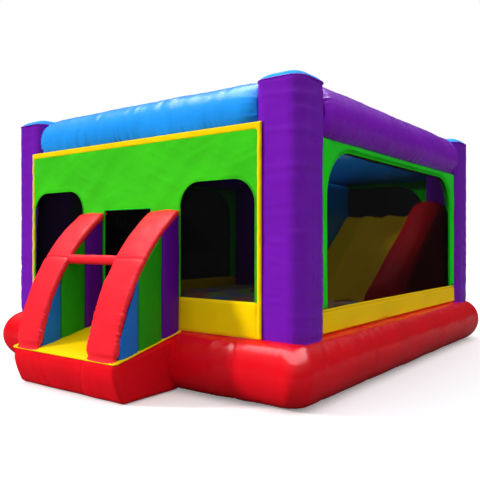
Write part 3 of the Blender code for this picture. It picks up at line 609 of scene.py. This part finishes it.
def build_base():
    build_bumper()

    def quilt(p):
        """Lifts the underside along the lines where it is sewn."""
        lines = np.minimum(stripe(p[:, 0], 0.6, 0.3), stripe(p[:, 1], 0.8, 0.4))
        p[:, 2] += np.where(p[:, 2] < 0.1, 0.02 * bell(lines, 0.05), 0.0)
        return p

    low, high = MATTRESS_LOW + 0.004, MATTRESS_HIGH - (0.004, 0.004, 0.006)
    finish(soft_box("mattress_quilted", low, high, 0.05, 0.07, shape=quilt), "red", "base_mattress")
    low, high = low_high("floor_cover")

    def tubes(p):
        """Grooves between the floor's long tubes."""
        upper = p[:, 2] > high[2] - 0.03
        p[:, 2] -= np.where(upper, 0.022 * bell(stripe(p[:, 0], FLOOR_TUBE, FLOOR_TUBE / 2), 0.035), 0.0)
        upper = p[:, 2] > high[2] - 0.03
        p[:, 2] += np.where(upper, 0.004 * waves(p, 1.5, 21), 0.0)
        return p

    finish(soft_box("floor_tubes", low, high, 0.03, 0.04, shape=tubes), "floor", "floor_cover")


# --- posts and beams

POST_ROUND = 0.143


def build_post(place, seed):
    low, high = low_high(f"column_{place}")
    middle, half = (low + high) / 2, (high - low) / 2
    outline, normals, along = rounded_rect(half[0], half[1], POST_ROUND, 10, 10)
    x, y = outline.T
    top = high[2]
    s, z = np.meshgrid(along, np.linspace(low[2] - 0.09, top, 120))
    flat = cloud(x, y, z)
    bump = swell(flat, seed, (0.003, 1.4, (1, 1, 0.7)), (0.0014, 3.2, (1, 1, 2.6)))
    bump += pleats(s, z - low[2], 9.0, 0.009, 0.10, seed + 2) + pleats(s, top - z, 12.0, 0.004, 0.07, seed + 4)
    creases = np.abs(waves(flat * (0.7, 0.7, 5.0), 2.2, seed + 6)) ** 0.6 - 0.7
    bump += 0.006 * creases * bell(z - low[2] - 0.45, 0.35) + groove(z - (low[2] + 0.003), 0.01, 0.012)
    points = cloud(middle[0] + x + normals[:, 0] * bump, middle[1] + y + normals[:, 1] * bump, z)
    finish(skin(f"post_{place}", points), "purple", f"column_{place}")

    rise = low_high(f"cap_{place}")[1][2] - top
    share = np.sin(np.linspace(0.5 * math.pi, 0.02, 26))[:, None]
    curl = np.clip(1 - share**2, 0, 1) ** 0.62
    gathers = pleats(np.broadcast_to(along, (26, len(along))), 1 - share, 10.0, 0.006, 0.12, seed + 8)
    dome = cloud(middle[0] + x * share * 0.985, middle[1] + y * share * 0.985,
                 top + 0.004 + (rise - 0.008) * curl + gathers)
    finish(skin(f"cap_dome_{place}", dome), "blue_cap", f"cap_{place}")
    welt = cloud(middle[0] + x[::2] * 0.995, middle[1] + y[::2] * 0.995, top + 0.003)
    edging(f"welt_{place}", "purple", welt, 0.008, closed=True)


def build_beam(side, axis, look, seed, trim_side):
    """A fat tube between two posts, gathered at its ends and along the wall's seam."""
    name = f"beam_{side}"
    low, high = low_high(name)
    middle, half = (low + high) / 2, (high - low) / 2
    radius = half[2]
    run = np.linspace(low[axis] - 0.03, high[axis] + 0.03, 170)
    angle = np.linspace(0, TURN, 84, endpoint=False)
    r, a = np.meshgrid(run, angle, indexing="ij")
    end = np.minimum(r - run[0], run[-1] - r)
    around = cloud(r, radius * np.cos(a), radius * np.sin(a))
    size = radius - 0.050 * np.exp(-end / 0.055)
    size += swell(around, seed, (0.004, 1.2, (1, 1, 1)), (0.0012, 5.0, (1, 0.6, 0.6)))
    size += pleats(a * radius, end, 8.0, 0.022, 0.09, seed + 2)
    seam = np.radians(np.abs((np.degrees(a) - trim_side + 180) % 360 - 180)) * radius
    size += pleats(r, seam, 8.0, 0.014, 0.10, seed + 4)
    size += 0.0022 * (np.abs(waves(around * (3.0, 1, 1), 1.7, seed + 6)) ** 0.6 - 0.6)
    points = turned(axis, r, middle[1 - axis] + size * np.cos(a), middle[2] + size * np.sin(a))
    finish(skin(f"tube_{name}", points), look, name)


def build_frame():
    for k, place in enumerate(("front_left", "front_right", "back_left", "back_right")):
        build_post(place, 100 + 20 * k)
    build_beam("front", 0, "blue", 200, 212)
    build_beam("back", 0, "blue", 220, 328)
    # the side beams take the lighter purple copy, painted light
    build_beam("left", 1, "purple_beam_lit", 240, 250)
    build_beam("right", 1, "purple_beam_lit", 260, 290)


# --- walls and nets

SIDE_WINDOW_ROUND = 0.50
FRONT_WINDOW_ROUND = 0.25
# how far an opening runs on below its sill, so that its lower corners never show
BELOW_SIDE, BELOW_FRONT, BELOW_DOOR = 1.4, 0.9, 0.6
DOOR_BOTTOM, DOOR_TOP = 0.66, 1.848


def build_net(name, window, place, seed, over=0.03, look="net"):
    """Netting with a slight sag, in a closed thin sheet."""
    low_u, high_u, low_v, high_v, _ = window
    item = panel(f"mesh_{name}", (low_u - over, high_u + over), (low_v - over, high_v + over), [], place,
                 0.004, 0.004, 0.05, ripple(0.9, 0.010, seed))
    finish(item, look, name)


def build_wall(side, seed):
    """Padded wall with its arched window, sill, hem and net."""
    low, high = low_high(f"panel_{side}")
    sill_low, sill_high = low_high(f"sill_{side}")
    net_low, net_high = low_high(f"net_{side}")
    axis = 1 if side == "back" else 0
    other = 1 - axis
    middle, thick = (low[axis] + high[axis]) / 2, high[axis] - low[axis]
    place = facing(axis, middle, 1.0 if middle > 0 else -1.0)
    window = (net_low[other], net_high[other], net_low[2], net_high[2], SIDE_WINDOW_ROUND)
    opening = (*window[:2], window[2] - BELOW_SIDE, *window[3:])
    wide = (low[other] - 0.03, high[other] + 0.03)
    sheet = panel(f"wall_{side}", wide, (low[2], high[2] + 0.05), [opening], place, thick, 0.045, 0.03,
                  drag(seed, 0.004))
    finish(sheet, "dark_green", f"panel_{side}")
    sill = panel(f"sill_pad_{side}", wide, (sill_low[2] - 0.01, sill_high[2]), [], place, thick, 0.03, 0.03,
                 ripple(2.5, 0.003, seed + 5))
    finish(sill, "yellow", f"sill_{side}")
    build_net(f"net_{side}", window, place, seed + 8, look="net_side" if side == "right" else "net_rear")
    upper = arched_path(*window[:2], sill_high[2], *window[3:])
    edging(f"hem_{side}", "dark_green", place(*upper.T, thick / 2 * 0.45), 0.007)
    piping = place(np.linspace(low[other], high[other], 60), sill_high[2] - 0.002, thick / 2 - 0.004)
    edging(f"sill_piping_{side}", "yellow", piping, 0.006)


def build_front():
    """The flat panel over the front columns: banner, border, bench and two nets."""
    trim_low, trim_high = low_high("front_trim")
    panel_low, panel_high = low_high("front_panel")
    sill_low, sill_high = low_high("front_sill")
    door_low, door_high = low_high("door_curtain")
    left_high, right_low = low_high("net_front_left")[1], low_high("net_front_right")[0]
    middle, thick = (trim_low[1] + trim_high[1]) / 2, trim_high[1] - trim_low[1]
    place = facing(1, middle, -1.0)

    over, leg = 0.02, 0.012
    foot, head = sill_high[2] - 0.002, left_high[2] - over
    windows = ((panel_low[0] + leg, left_high[0] - over, foot, head, FRONT_WINDOW_ROUND),
               (right_low[0] + over, panel_high[0] - leg, foot, head, FRONT_WINDOW_ROUND))
    holes = [(w[0], w[1], w[2] - BELOW_FRONT, w[3], w[4]) for w in windows]
    door_left, door_right = door_low[0] - 0.005, door_high[0] + 0.005
    holes.append((door_left, door_right, DOOR_BOTTOM - BELOW_DOOR, DOOR_TOP, 0.03))
    green = panel("front_banner", (panel_low[0] - 0.02, panel_high[0] + 0.02),
                  (panel_low[2], panel_high[2] + 0.02), holes, place, thick, 0.008, 0.018, drag(301, 0.0028))
    finish(green, "panel", "front_panel")
    inner = [(panel_low[0], panel_high[0], trim_low[2] - 1.5, panel_high[2], 0.02)]
    edge = panel("front_border", (trim_low[0], trim_high[0]), (trim_low[2], trim_high[2]), inner, place,
                 thick + 0.008, 0.012, 0.012, ripple(5.0, 0.002, 311))
    finish(edge, "yellow", "front_trim")
    step = [(door_left, door_right, DOOR_BOTTOM, 2.0, 0.02)]
    bench = panel("front_bench", (panel_low[0] - 0.01, panel_high[0] + 0.01), (sill_low[2], sill_high[2]),
                  step, place, thick + 0.004, 0.012, 0.018, ripple(3.0, 0.003, 321))
    finish(bench, "yellow", "front_sill")

    behind = facing(1, middle + 0.022, -1.0)
    for name, window, seed in zip(("net_front_left", "net_front_right"), windows, (331, 341)):
        tall = (window[0], window[1], sill_low[2] + 0.06, *window[3:])
        build_net(name, tall, behind, seed, 0.02)
        edging(f"hem_{name}", "panel", place(*arched_path(*window).T, thick / 2), 0.005)
    left, right, top = door_left - 0.008, door_right + 0.008, DOOR_TOP + 0.004
    corners = np.array(((left, DOOR_BOTTOM), (left, top), (right, top), (right, DOOR_BOTTOM)))
    line = [a + (b - a) * t for a, b in zip(corners, corners[1:]) for t in np.linspace(0, 1, 24)[:-1]]
    edging("door_binding", "dark_green", place(*np.array(line + [corners[-1]]).T, thick / 2), 0.006)


def build_curtain():
    """Pleated black curtain, and the dark strips beside the doorway that it hangs between."""
    low, high = low_high("door_curtain")
    u, v = np.meshgrid(np.linspace(low[0], high[0], 90), np.linspace(low[2], high[2], 60), indexing="ij")
    hang = (high[2] - v) / (high[2] - low[2])
    fold = 0.007 * (0.3 + 0.7 * hang) * np.sin(u * TURN / 0.075 + 2.0 * np.sin(v * 2.2))
    fold += 0.003 * waves(cloud(u, v), 2.0, 351) * hang
    middle = (low[1] + high[1]) / 2
    sheets = [cloud(u, middle + fold + side, v) for side in (-0.002, 0.002)]
    item = closed_sheet("curtain_pleated", *sheets, grid_faces(*u.shape))
    finish(item, "curtain", "door_curtain", body="curtain")
    near, wide = 0.003, 0.10
    for side, start, end in (("left", low[0] - wide, low[0] - near), ("right", high[0] + near, high[0] + wide)):
        strip = soft_box(f"door_jamb_{side}", (start, middle + 0.004, low[2] - 0.02),
                         (end, middle + 0.010, high[2] + 0.02), 0.002, 0.03)
        finish(strip, "curtain")


# --- entrance

RAMP_LOW, RAMP_HIGH = low_high("ramp_cushion")
SHEET_LOW, SHEET_HIGH = low_high("ramp_top")
SHEET_THICK = 0.012
RAMP_FRONT_Z = float(SHEET_LOW[2])
RAMP_BACK_Z = float(SHEET_HIGH[2]) - SHEET_THICK
RAMP_TALL = 0.5
RAMP_MIDDLE = -0.04
ARCH_CENTRE = (-1.316, 0.107)
ARCH_RADIUS = 2.118
BAND = 0.06
TUBE_PUFF = 0.016


def ramp_height(y):
    share = (y - SHEET_LOW[1]) / (SHEET_HIGH[1] - SHEET_LOW[1])
    return RAMP_FRONT_Z + share * (RAMP_BACK_Z - RAMP_FRONT_Z)


def arch_height(y, radius):
    return ARCH_CENTRE[1] + np.sqrt(np.maximum(radius**2 - (y - ARCH_CENTRE[0]) ** 2, 0.0))


def puff_ramp(p):
    """The cushion's slope, front seams, creased flanks and tucked foot."""
    share = p[:, 2] / RAMP_TALL
    q = p.copy()
    q[:, 2] = share * ramp_height(p[:, 1])
    front = bell(p[:, 1] - RAMP_LOW[1], 0.12)
    lean = 0.10 * (1 - share) ** 2
    seam = np.minimum(np.abs(p[:, 0] + 0.36 - lean), np.abs(p[:, 0] - 0.30 + lean))
    q[:, 1] += 0.010 * bell(seam, 0.012) * front
    side = np.sign(p[:, 0] - RAMP_MIDDLE) * np.clip(np.abs(p[:, 0] - RAMP_MIDDLE) - 0.72, 0, 0.08) / 0.08
    back = np.clip((p[:, 1] + 3.05) / 0.4, 0, 1)
    creases = np.abs(waves(p * (0.4, 3.0, 1.6), 1.6, 401)) ** 0.6 - 0.6
    q[:, 0] += side * (0.016 * back * creases + 0.004 * waves(p, 2.0, 402) - 0.010 * bell(1 - share, 0.05))
    q[:, 1] += front * 0.005 * waves(p * (1, 1, 0.6), 2.2, 403)
    q[:, 1] += 0.10 * front * np.clip(1 - share / 0.75, 0, 1) ** 1.5
    q[:, 2] = np.maximum(q[:, 2], 0.0)
    return q


def crown_sheet(p):
    """The ramp's top sheet: crowned across, level with the cushion at its front."""
    q = p.copy()
    crown = 0.010 * (1 - ((p[:, 0] - RAMP_MIDDLE) / 0.8) ** 2) * np.clip((p[:, 1] - SHEET_LOW[1]) / 0.05, 0, 1)
    q[:, 2] = ramp_height(p[:, 1]) - 0.008 + p[:, 2] * (SHEET_THICK + 0.006) + crown
    q[:, 2] += 0.002 * waves(p * (1, 1, 0), 2.5, 405)
    return q


def build_ramp():
    low = (RAMP_LOW[0], RAMP_LOW[1], 0.0)
    high = (RAMP_HIGH[0], SHEET_HIGH[1] + 0.03, RAMP_TALL)
    reach = np.array((0.05, 0.06, 0.05))
    body = soft_box("ramp_puffed", low, high, reach, 0.022, (0.012, 0.016, 0.0), puff_ramp)
    finish(body, "red_soft", "ramp_cushion")
    low = (SHEET_LOW[0] + 0.004, SHEET_LOW[1] + 0.004, 0.0)
    high = (SHEET_HIGH[0] - 0.004, SHEET_HIGH[1] + 0.02, 1.0)
    top = soft_box("ramp_sheet", low, high, np.array((0.008, 0.008, 0.3)), 0.03, shape=crown_sheet)
    finish(top, "yellow", "ramp_top")
    x, y = arched_path(SHEET_LOW[0], SHEET_HIGH[0], SHEET_HIGH[1], SHEET_LOW[1], 0.035, (30, 50), 7).T
    edging("ramp_piping", "yellow", cloud(x, y, ramp_height(y) - 0.001), 0.009, 10)


def build_tube(colour, side, seed):
    """One upright tube of an entrance wall: round-sided, trimmed by ramp and arch."""
    name = f"arch_{colour}_{side}"
    (low_x, near, _), (high_x, far, _) = low_high(name)
    if side == "left":
        low_x, limit = low_x - 0.006, high_x - 0.001
        high_x, trim = limit - TUBE_PUFF, np.minimum
    else:
        high_x, limit = high_x + 0.006, low_x + 0.001
        low_x, trim = limit + TUBE_PUFF, np.maximum
    half_y = (far - near) / 2 + 0.004
    outline, normals, along = rounded_rect((high_x - low_x) / 2, half_y, 0.034, 8, 14)
    x, y = (low_x + high_x) / 2 + outline[:, 0], (near + far) / 2 + outline[:, 1]
    foot = ramp_height(y) + 0.006
    top = np.maximum(arch_height(np.maximum(y, near - 0.002), ARCH_RADIUS - BAND + 0.02), foot + 0.02)
    z = foot + (top - foot) * np.linspace(0, 1, 64)[:, None]
    s = np.broadcast_to(along, z.shape)
    bump = 0.003 * waves(cloud(x, y, z) * (1, 1, 0.7), 2.2, seed)
    bump += pleats(s, z - foot, 12.0, 0.008, 0.07, seed + 1) + pleats(s, top - z, 14.0, 0.006, 0.06, seed + 3)
    bump += TUBE_PUFF * np.clip(1 - (outline[:, 1] / half_y) ** 2, 0, 1) * np.abs(normals[:, 0])
    points = cloud(trim(x + normals[:, 0] * bump, limit), y + normals[:, 1] * bump, z)
    # the tube takes a darker copy of its colour, painted shade
    finish(skin(f"puffed_{name}", points), f"{colour}_tube", name)


def build_band(side, seed):
    """The arched band over an entrance wall, gathered near its foot and seamed across."""
    name = f"arch_band_{side}"
    low, high = low_high(name)
    reach = math.sqrt(ARCH_RADIUS**2 - (low[2] - ARCH_CENTRE[1]) ** 2)
    first = math.atan2(low[2] - ARCH_CENTRE[1], -reach)
    last = math.acos((high[1] - ARCH_CENTRE[0]) / ARCH_RADIUS)
    half_x = (high[0] - low[0]) / 2 + 0.004
    section, normals, _ = rounded_rect(half_x, BAND / 2 + 0.004, 0.032, 8, 16)
    a = np.linspace(first + 0.016, last - 0.012, 150)[:, None]
    run, end = (first - a) * ARCH_RADIUS, (a - last) * ARCH_RADIUS
    u, w = section.T
    edge = np.clip((np.abs(u) - (half_x - 0.10)) / 0.10, 0, 1)
    bump = 0.010 * (1 - (u / half_x) ** 2) * (w > 0) + 0.0025 * waves(cloud(u, run), 3.0, seed)
    gathers = np.abs(waves(run[..., None], 11.0, seed + 1)) ** 0.8
    bump -= 0.010 * edge * np.clip(1.3 - run, 0, 1) * gathers
    bump += groove(run - 0.98, 0.008, 0.010) + groove(np.minimum(run, end), 0.02, 0.03)
    radius = ARCH_RADIUS - BAND / 2 + w + normals[:, 1] * bump
    points = cloud((low[0] + high[0]) / 2 + u + normals[:, 0] * bump,
                   ARCH_CENTRE[0] + radius * np.cos(a), ARCH_CENTRE[1] + radius * np.sin(a))
    finish(skin(f"band_puffed_{side}", points), "pink", name)


def build_arches():
    for side, seed in (("left", 500), ("right", 540)):
        for k, colour in enumerate(("blue", "green", "purple")):
            build_tube(colour, side, seed + 10 * k)
        build_band(side, seed + 30)
    low, high = low_high("cross_bar")
    middle, radius = (low + high) / 2, (high[2] - low[2]) / 2
    run = np.linspace(low[0] - 0.01, high[0] + 0.01, 60)
    r, a = np.meshgrid(run, np.linspace(0, TURN, 32, endpoint=False), indexing="ij")
    end = np.minimum(r - run[0], run[-1] - r)
    size = radius + pleats(a * radius, end, 40.0, 0.006, 0.025, 591) + 0.0015 * waves(r[..., None], 4.0, 592)
    points = cloud(r, middle[1] + size * np.cos(a), middle[2] + size * np.sin(a))
    finish(skin("bar_puffed", points), "pink", "cross_bar")


# --- slide

CREST_Y = 1.95
LANE_LIP = 0.02
DIVIDER_BACK_Y = 2.09
CLIMB_STEPS = 5


def build_lane():
    low, high = low_high("slide_lane")

    def lane(p):
        """The sloped bed: low at its toe, dished along its three tubes."""
        q = p.copy()
        share = np.clip((p[:, 1] - low[1]) / (CREST_Y - low[1]), 0, 1)
        tall = LANE_LIP + share * (high[2] - low[2] - LANE_LIP)
        across = (p[:, 0] - low[0]) / (high[0] - low[0])
        dish = 0.02 * np.cos(across * 3 * TURN) - 0.01 + 0.006 * waves(p * (1, 1, 0), 2.0, 601)
        q[:, 2] = low[2] + p[:, 2] * tall + dish * p[:, 2]
        return q

    start, end = (low[0] + 0.002, low[1], 0.0), (high[0] - 0.002, high[1] - 0.002, 1.0)
    item = soft_box("lane_puffed", start, end, np.array((0.02, 0.04, 0.03)), 0.045, shape=lane)
    finish(item, "yellow", "slide_lane")


def build_bolster(side):
    """A fat rail that climbs from a round nose, with its top rounded across."""
    name = f"slide_bolster_{side}"
    low, high = low_high(name)
    start, nose, rise = low[1] + 0.005, 0.13, 0.30
    y = np.linspace(start, high[1] - 0.004, 90)
    share = np.clip((y - start - nose) / (CREST_Y - 0.05 - start - nose), 0, 1)
    tall = rise + share * (high[2] - low[2] - rise)
    round_nose = np.clip((y - start) / 0.16, 0, 1)
    tall = (tall * np.sqrt(np.clip(1 - (1 - round_nose) ** 2, 0.01, 1)))[:, None]
    round_z = np.minimum(0.2, tall * 0.6)
    turn = np.linspace(0, math.pi, 40)
    top = cloud((low[0] + high[0]) / 2 + (high[0] - low[0]) / 2 * np.cos(turn), y[:, None],
                low[2] + tall - round_z + round_z * np.sin(turn) ** 0.8)
    top[..., 2] += 0.008 * waves(top, 1.8, 611)
    points = np.concatenate((top[:, :1], top, top[:, -1:]), axis=1)
    points[:, 0, 2] = points[:, -1, 2] = low[2]
    points[..., 0] = np.clip(points[..., 0], low[0] + 0.001, high[0] - 0.001)
    finish(skin(f"bolster_puffed_{side}", points), "red_soft", name)


def build_divider():
    low, high = low_high("slide_divider")
    middle = (low[0] + high[0]) / 2

    def seamed(p):
        q = p.copy()
        seam = np.abs((p[:, 2] - low[2]) % 0.42 - 0.21)
        q[:, 0] += np.sign(p[:, 0] - middle) * 0.012 * (seam / 0.21 - 1)
        return q

    block = soft_box("divider_puffed", low, (high[0], DIVIDER_BACK_Y, high[2]), 0.09, 0.045, shape=seamed)
    rear = soft_box("divider_rear", (low[0], DIVIDER_BACK_Y - 0.12, low[2]),
                    (high[0], high[1], low_high("climb_wall")[1][2]), 0.03, 0.06)
    finish(merge("divider_cushion", [block, rear]), "blue", "slide_divider")


def build_climb():
    """Five padded steps up to a deck, with a pair of webbing handles on each step above the lowest."""
    low, high = low_high("climb_wall")
    step_y = (CREST_Y - low[1]) / CLIMB_STEPS
    step_z = (high[2] - low[2]) / CLIMB_STEPS
    ledges = []
    for i in range(CLIMB_STEPS):
        near, foot = low[1] + i * step_y, low[2] + i * step_z
        ledges.append(soft_box(
            "ledge", (low[0], near, foot), (high[0], near + step_y + 0.12, foot + step_z), 0.07, 0.045,
            (0, 0.02, 0), lambda p: p + 0.004 * waves(p, 2.5, 621)[:, None] * (0, 1, 0)))
        for k, x in (("a", low[0] + 0.17), ("b", high[0] - 0.17)):
            share = np.linspace(0, 1, 12)
            arch = cloud(x - 0.06 + 0.12 * share, near + 0.06,
                         foot + step_z + 0.004 + 0.045 * np.sin(math.pi * share))
            if i:
                edging(f"handle_{i}_{k}", "webbing", arch, 0.008)
    ledges.append(soft_box("deck", (low[0], CREST_Y - 0.02, low[2]), high, 0.03, 0.06))
    finish(merge("climb_ledges", ledges), "green", "climb_wall")


def build_slide():
    build_lane()
    build_bolster("right")
    build_bolster("left")
    build_divider()
    build_climb()


# --- blower and fittings

SLEEVE_START_Z = 0.24
NOZZLE_Z = 0.1335
SLEEVE_RADIUS = 0.125
# half width and height of the nozzle under the sleeve, and of the strap round it
NOZZLE_HALF = (0.122, 0.130)
STRAP_HALF = (0.126, 0.131)


def squared(angle, half):
    """A rounded rectangle's point at an angle."""
    return (np.clip(1.22 * np.cos(angle), -1, 1) * half[0], np.clip(1.22 * np.sin(angle), -1, 1) * half[1])


def build_sleeve():
    """The gathered fabric sleeve, squared where it is strapped over the nozzle."""
    low, high = low_high("inflation_tube")
    nozzle_y = low_high("blower_housing")[0][1]
    x, strap_y = (low[0] + high[0]) / 2, nozzle_y + 0.03
    y = np.linspace(low[1] - 0.02, high[1] + 0.045, 80)[:, None]
    share = np.clip((y - low[1]) / (high[1] - low[1]), 0, 1)
    z = SLEEVE_START_Z + (NOZZLE_Z - SLEEVE_START_Z) * share**1.3
    a = np.linspace(0, TURN, 64, endpoint=False)
    r = SLEEVE_RADIUS * (1.0 + 0.08 * np.sin(math.pi * share)) - 0.014 * bell(y - strap_y, 0.014)
    r = r + 0.005 * waves(cloud(np.cos(a) * 0.12, y, np.sin(a) * 0.12), 4.0, 701)
    around = a * SLEEVE_RADIUS + 0 * y
    r += pleats(around, y - strap_y, 30.0, 0.010, 0.05, 702)
    r = np.minimum(r + pleats(around, y - low[1], 16.0, 0.012, 0.05, 704), z - 0.004)
    flat = np.clip((y - (nozzle_y - 0.03)) / 0.05, 0, 1)
    square_x, square_z = squared(a, NOZZLE_HALF)
    px = np.cos(a) * r * (1 - flat) + square_x * flat
    pz = np.sin(a) * r * (1 - flat) + square_z * flat
    points = cloud(x + px, y, np.maximum(z + pz, 0.002))
    finish(skin("sleeve_gathered", points, caps=False), "red", "inflation_tube")
    wide, tall = squared(np.linspace(0, TURN, 48, endpoint=False), STRAP_HALF)
    strap = [cord("part", cloud(x + wide, strap_y + offset, np.maximum(NOZZLE_Z + tall, 0.006)), 0.0042,
                  closed=True) for offset in (-0.009, -0.003, 0.003, 0.009)]
    finish(merge("sleeve_strap", strap), "webbing")


def build_blower_trim():
    """Feet, motor ribs, grille screws and the power cord."""
    low, high = low_high("blower_housing")
    feet = [soft_box("foot", (x - 0.02, y - 0.03, 0.0), (x + 0.02, y + 0.03, 0.035), 0.006, 0.01)
            for x in (low[0] + 0.03, high[0] - 0.03) for y in (low[1] + 0.16, high[1] - 0.12)]
    finish(merge("blower_feet", feet), "dark")
    m_low, m_high = low_high("blower_motor")
    _, y, z = (m_low + m_high) / 2
    ribs = [cord("rib", circle(x, y, z, 0.0765, 48), 0.0028, 6, True)
            for x in np.linspace(m_low[0] + 0.02, m_high[0] - 0.025, 7)]
    finish(merge("motor_ribs", ribs), "dark")
    screws = [cord("screw", circle(low[0] - 0.008, y + 0.108 * math.cos(t), z + 0.108 * math.sin(t), 0.004, 12),
                   0.0018, 6, True) for t in np.radians((20, 80, 140, 200, 260, 320))]
    finish(merge("grille_screws", screws), "steel")
    box_low, box_high = low_high("blower_switch_box")
    middle = (box_low + box_high) / 2
    t = np.linspace(0, 1, 60)
    run = cloud(middle[0] + 0.30 * t**1.5 + 0.03 * np.sin(9 * t) * t, box_low[1] - 0.002 - 0.02 * t,
                np.maximum(0.008, middle[2] * (1 - t) ** 2.2))
    edging("power_cord", "dark", run, 0.005)


def build_anchor(side):
    """A woven tab with its loop, on a patch, with rows of stitches."""
    low, high = low_high(f"anchor_tab_{side}")
    face = low[1]
    woven = [soft_box("web", (low[0], face - 0.002, 0.119), (high[0], face + 0.004, high[2]), 0.0015, 0.006)]
    t = np.linspace(math.radians(100), math.radians(430), 26)
    for x in np.linspace(low[0] + 0.0016, high[0] - 0.0016, 16):
        loop = cloud(x, face + 0.008 + 0.0066 * np.cos(t), 0.12 + 0.0066 * np.sin(t))
        woven.append(cord("bar", loop, 0.0017, 6))
    finish(merge(f"tab_woven_{side}", woven), "webbing", f"anchor_tab_{side}")
    patch = soft_box(f"tab_patch_{side}", (low[0] - 0.03, face - 0.006, 0.16),
                     (high[0] + 0.03, face + 0.0015, 0.32), 0.002, 0.02)
    finish(patch, "red")
    stitches = [cord("stitch", [(x - 0.002, face + 0.0042, z), (x + 0.002, face + 0.0042, z)], 0.0008, 6)
                for x in np.linspace(low[0] + 0.005, high[0] - 0.005, 7) for z in (0.20, 0.27)]
    finish(merge(f"tab_stitches_{side}", stitches), "thread")


def build_port():
    """Zip tape and teeth behind the slider, and the flap over them with its hem."""
    low, high = low_high("deflation_flap")
    s_low, s_high = low_high("zip_slider")
    face, z = s_low[1], (s_low[2] + s_high[2]) / 2
    start, end = low[0] + 0.02, high[0] - 0.02
    tape = soft_box("zip_tape", (start, face - 0.006, z - 0.022), (end, face - 0.001, z + 0.022), 0.002, 0.01)
    finish(tape, "webbing")
    teeth = [soft_box("tooth", (x, face - 0.002, z - 0.0035), (x + 0.0035, face - 0.0002, z + 0.0035),
                      0.0008, 0.003) for x in np.arange(start + 0.01, end - 0.01, 0.006)]
    finish(merge("zip_teeth", teeth), "dark")
    place = facing(1, (low[1] + high[1]) / 2, 1.0)
    cover = panel("flap_cover", (low[0], high[0]), (low[2], high[2]), [], place, 0.004, 0.004, 0.01,
                  ripple(6.0, 0.0012, 801))
    finish(cover, "red", "deflation_flap", body="flap")
    hinge = cloud(np.linspace(low[0], high[0], 30), face + 0.008, high[2] + 0.008)
    edging("flap_hem", "red", hinge, 0.004)


# the solids shown as they are, and their looks
KEPT = {
    "blower_housing": "shell", "blower_grille": "dark", "blower_impeller": "fan", "blower_motor": "dark",
    "blower_switch_box": "dark", "blower_rocker": "rocker", "anchor_ring_left": "steel",
    "anchor_ring_right": "steel", "zip_slider": "steel",
}


# --- stage

def build_ground():
    """A pale floor that looks white to the camera and throws little light on the object."""
    look = Look("stage_floor")
    share = look.math("MULTIPLY", look.ray("Is Camera Ray", 0.26, 1.0), look.ray("Is Glossy Ray", 1.0, 0.15))
    even = look.math("MULTIPLY", look.remap(look.noise(0.8, 3.0), 0.3, 0.7, 0.99, 1.01), share)
    look.surface(Base_Color=look.tint((0.95, 0.95, 0.95), even), Roughness=0.9,
                 Emission_Color=(1.0, 1.0, 1.0, 1.0), Emission_Strength=look.ray("Is Camera Ray", 0.0, 0.22))
    far = 60.0
    mesh = bpy.data.meshes.new("ground")
    corners = ((-far, -far), (far, -far), (far, far), (-far, far))
    mesh.from_pydata([(x, y, -0.001) for x, y in corners], [], [(0, 1, 2, 3)])
    mesh.materials.append(look.owner)
    return add_object("ground", mesh)


def build_key():
    sun = bpy.data.lights.new("key", "SUN")
    sun.energy = 2.85
    sun.angle = math.radians(7)
    sun.color = (1.0, 0.98, 0.95)
    key = add_object("key", sun)
    key.rotation_euler = Vector((1.3, 1.0, -0.635)).to_track_quat("-Z", "Y").to_euler()
    key.visible_glossy = False
    return key


def build_sky():
    """White to the camera, soft from above on the object, and one bright patch in reflections."""
    world = bpy.data.worlds.new("sky")
    bpy.context.scene.world = world
    sky = Graph(world)
    sky.tree.nodes.clear()
    where = sky.add("TexCoord").outputs["Generated"]
    height = sky.add("SeparateXYZ", where).outputs["Z"]
    rays = sky.add("LightPath").outputs
    overhead = sky.math("ADD", sky.remap(height, 0.35, 0.62, 0.04, 0.5),
                        sky.remap(height, 0.70, 0.80, 0.0, 6.5))
    choose = sky.add("Mix", data_type="FLOAT")
    sky.put(choose.inputs[0], rays["Is Glossy Ray"])
    sky.put(choose.inputs[2], sky.remap(height, 0.0, 0.8, 0.28, 1.25))
    sky.put(choose.inputs[3], overhead)
    soft = sky.add("Background", Color=(0.95, 0.97, 1.0, 1.0), Strength=choose.outputs[0])
    seen = sky.add("Background", Color=(1.0, 1.0, 1.0, 1.0), Strength=1.0)
    mix = sky.add("MixShader", rays["Is Camera Ray"], soft.outputs["Background"], seen.outputs["Background"])
    sky.add("OutputWorld", mix.outputs["Shader"])


def build_camera():
    camera = bpy.data.cameras.new("camera")
    camera.lens = 44.64
    camera.sensor_width = 36.0
    camera.clip_end = 200.0
    eye = add_object("camera", camera)
    eye.location = (4.856, -7.015, 1.5)
    eye.rotation_euler = (math.radians(90.125), 0.0, math.radians(36.80))
    bpy.context.scene.camera = eye
    return eye


def build_all():
    build_base()
    build_frame()
    for side, seed in (("left", 271), ("right", 281), ("back", 291)):
        build_wall(side, seed)
    build_front()
    build_curtain()
    build_ramp()
    build_arches()
    build_slide()
    build_sleeve()
    build_blower_trim()
    build_anchor("left")
    build_anchor("right")
    build_port()
    for name, look in KEPT.items():
        paint(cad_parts[name], look)
    build_ground()
    build_key()
    build_camera()
    build_sky()
    bpy.context.scene.view_settings.view_transform = "Standard"


build_all()
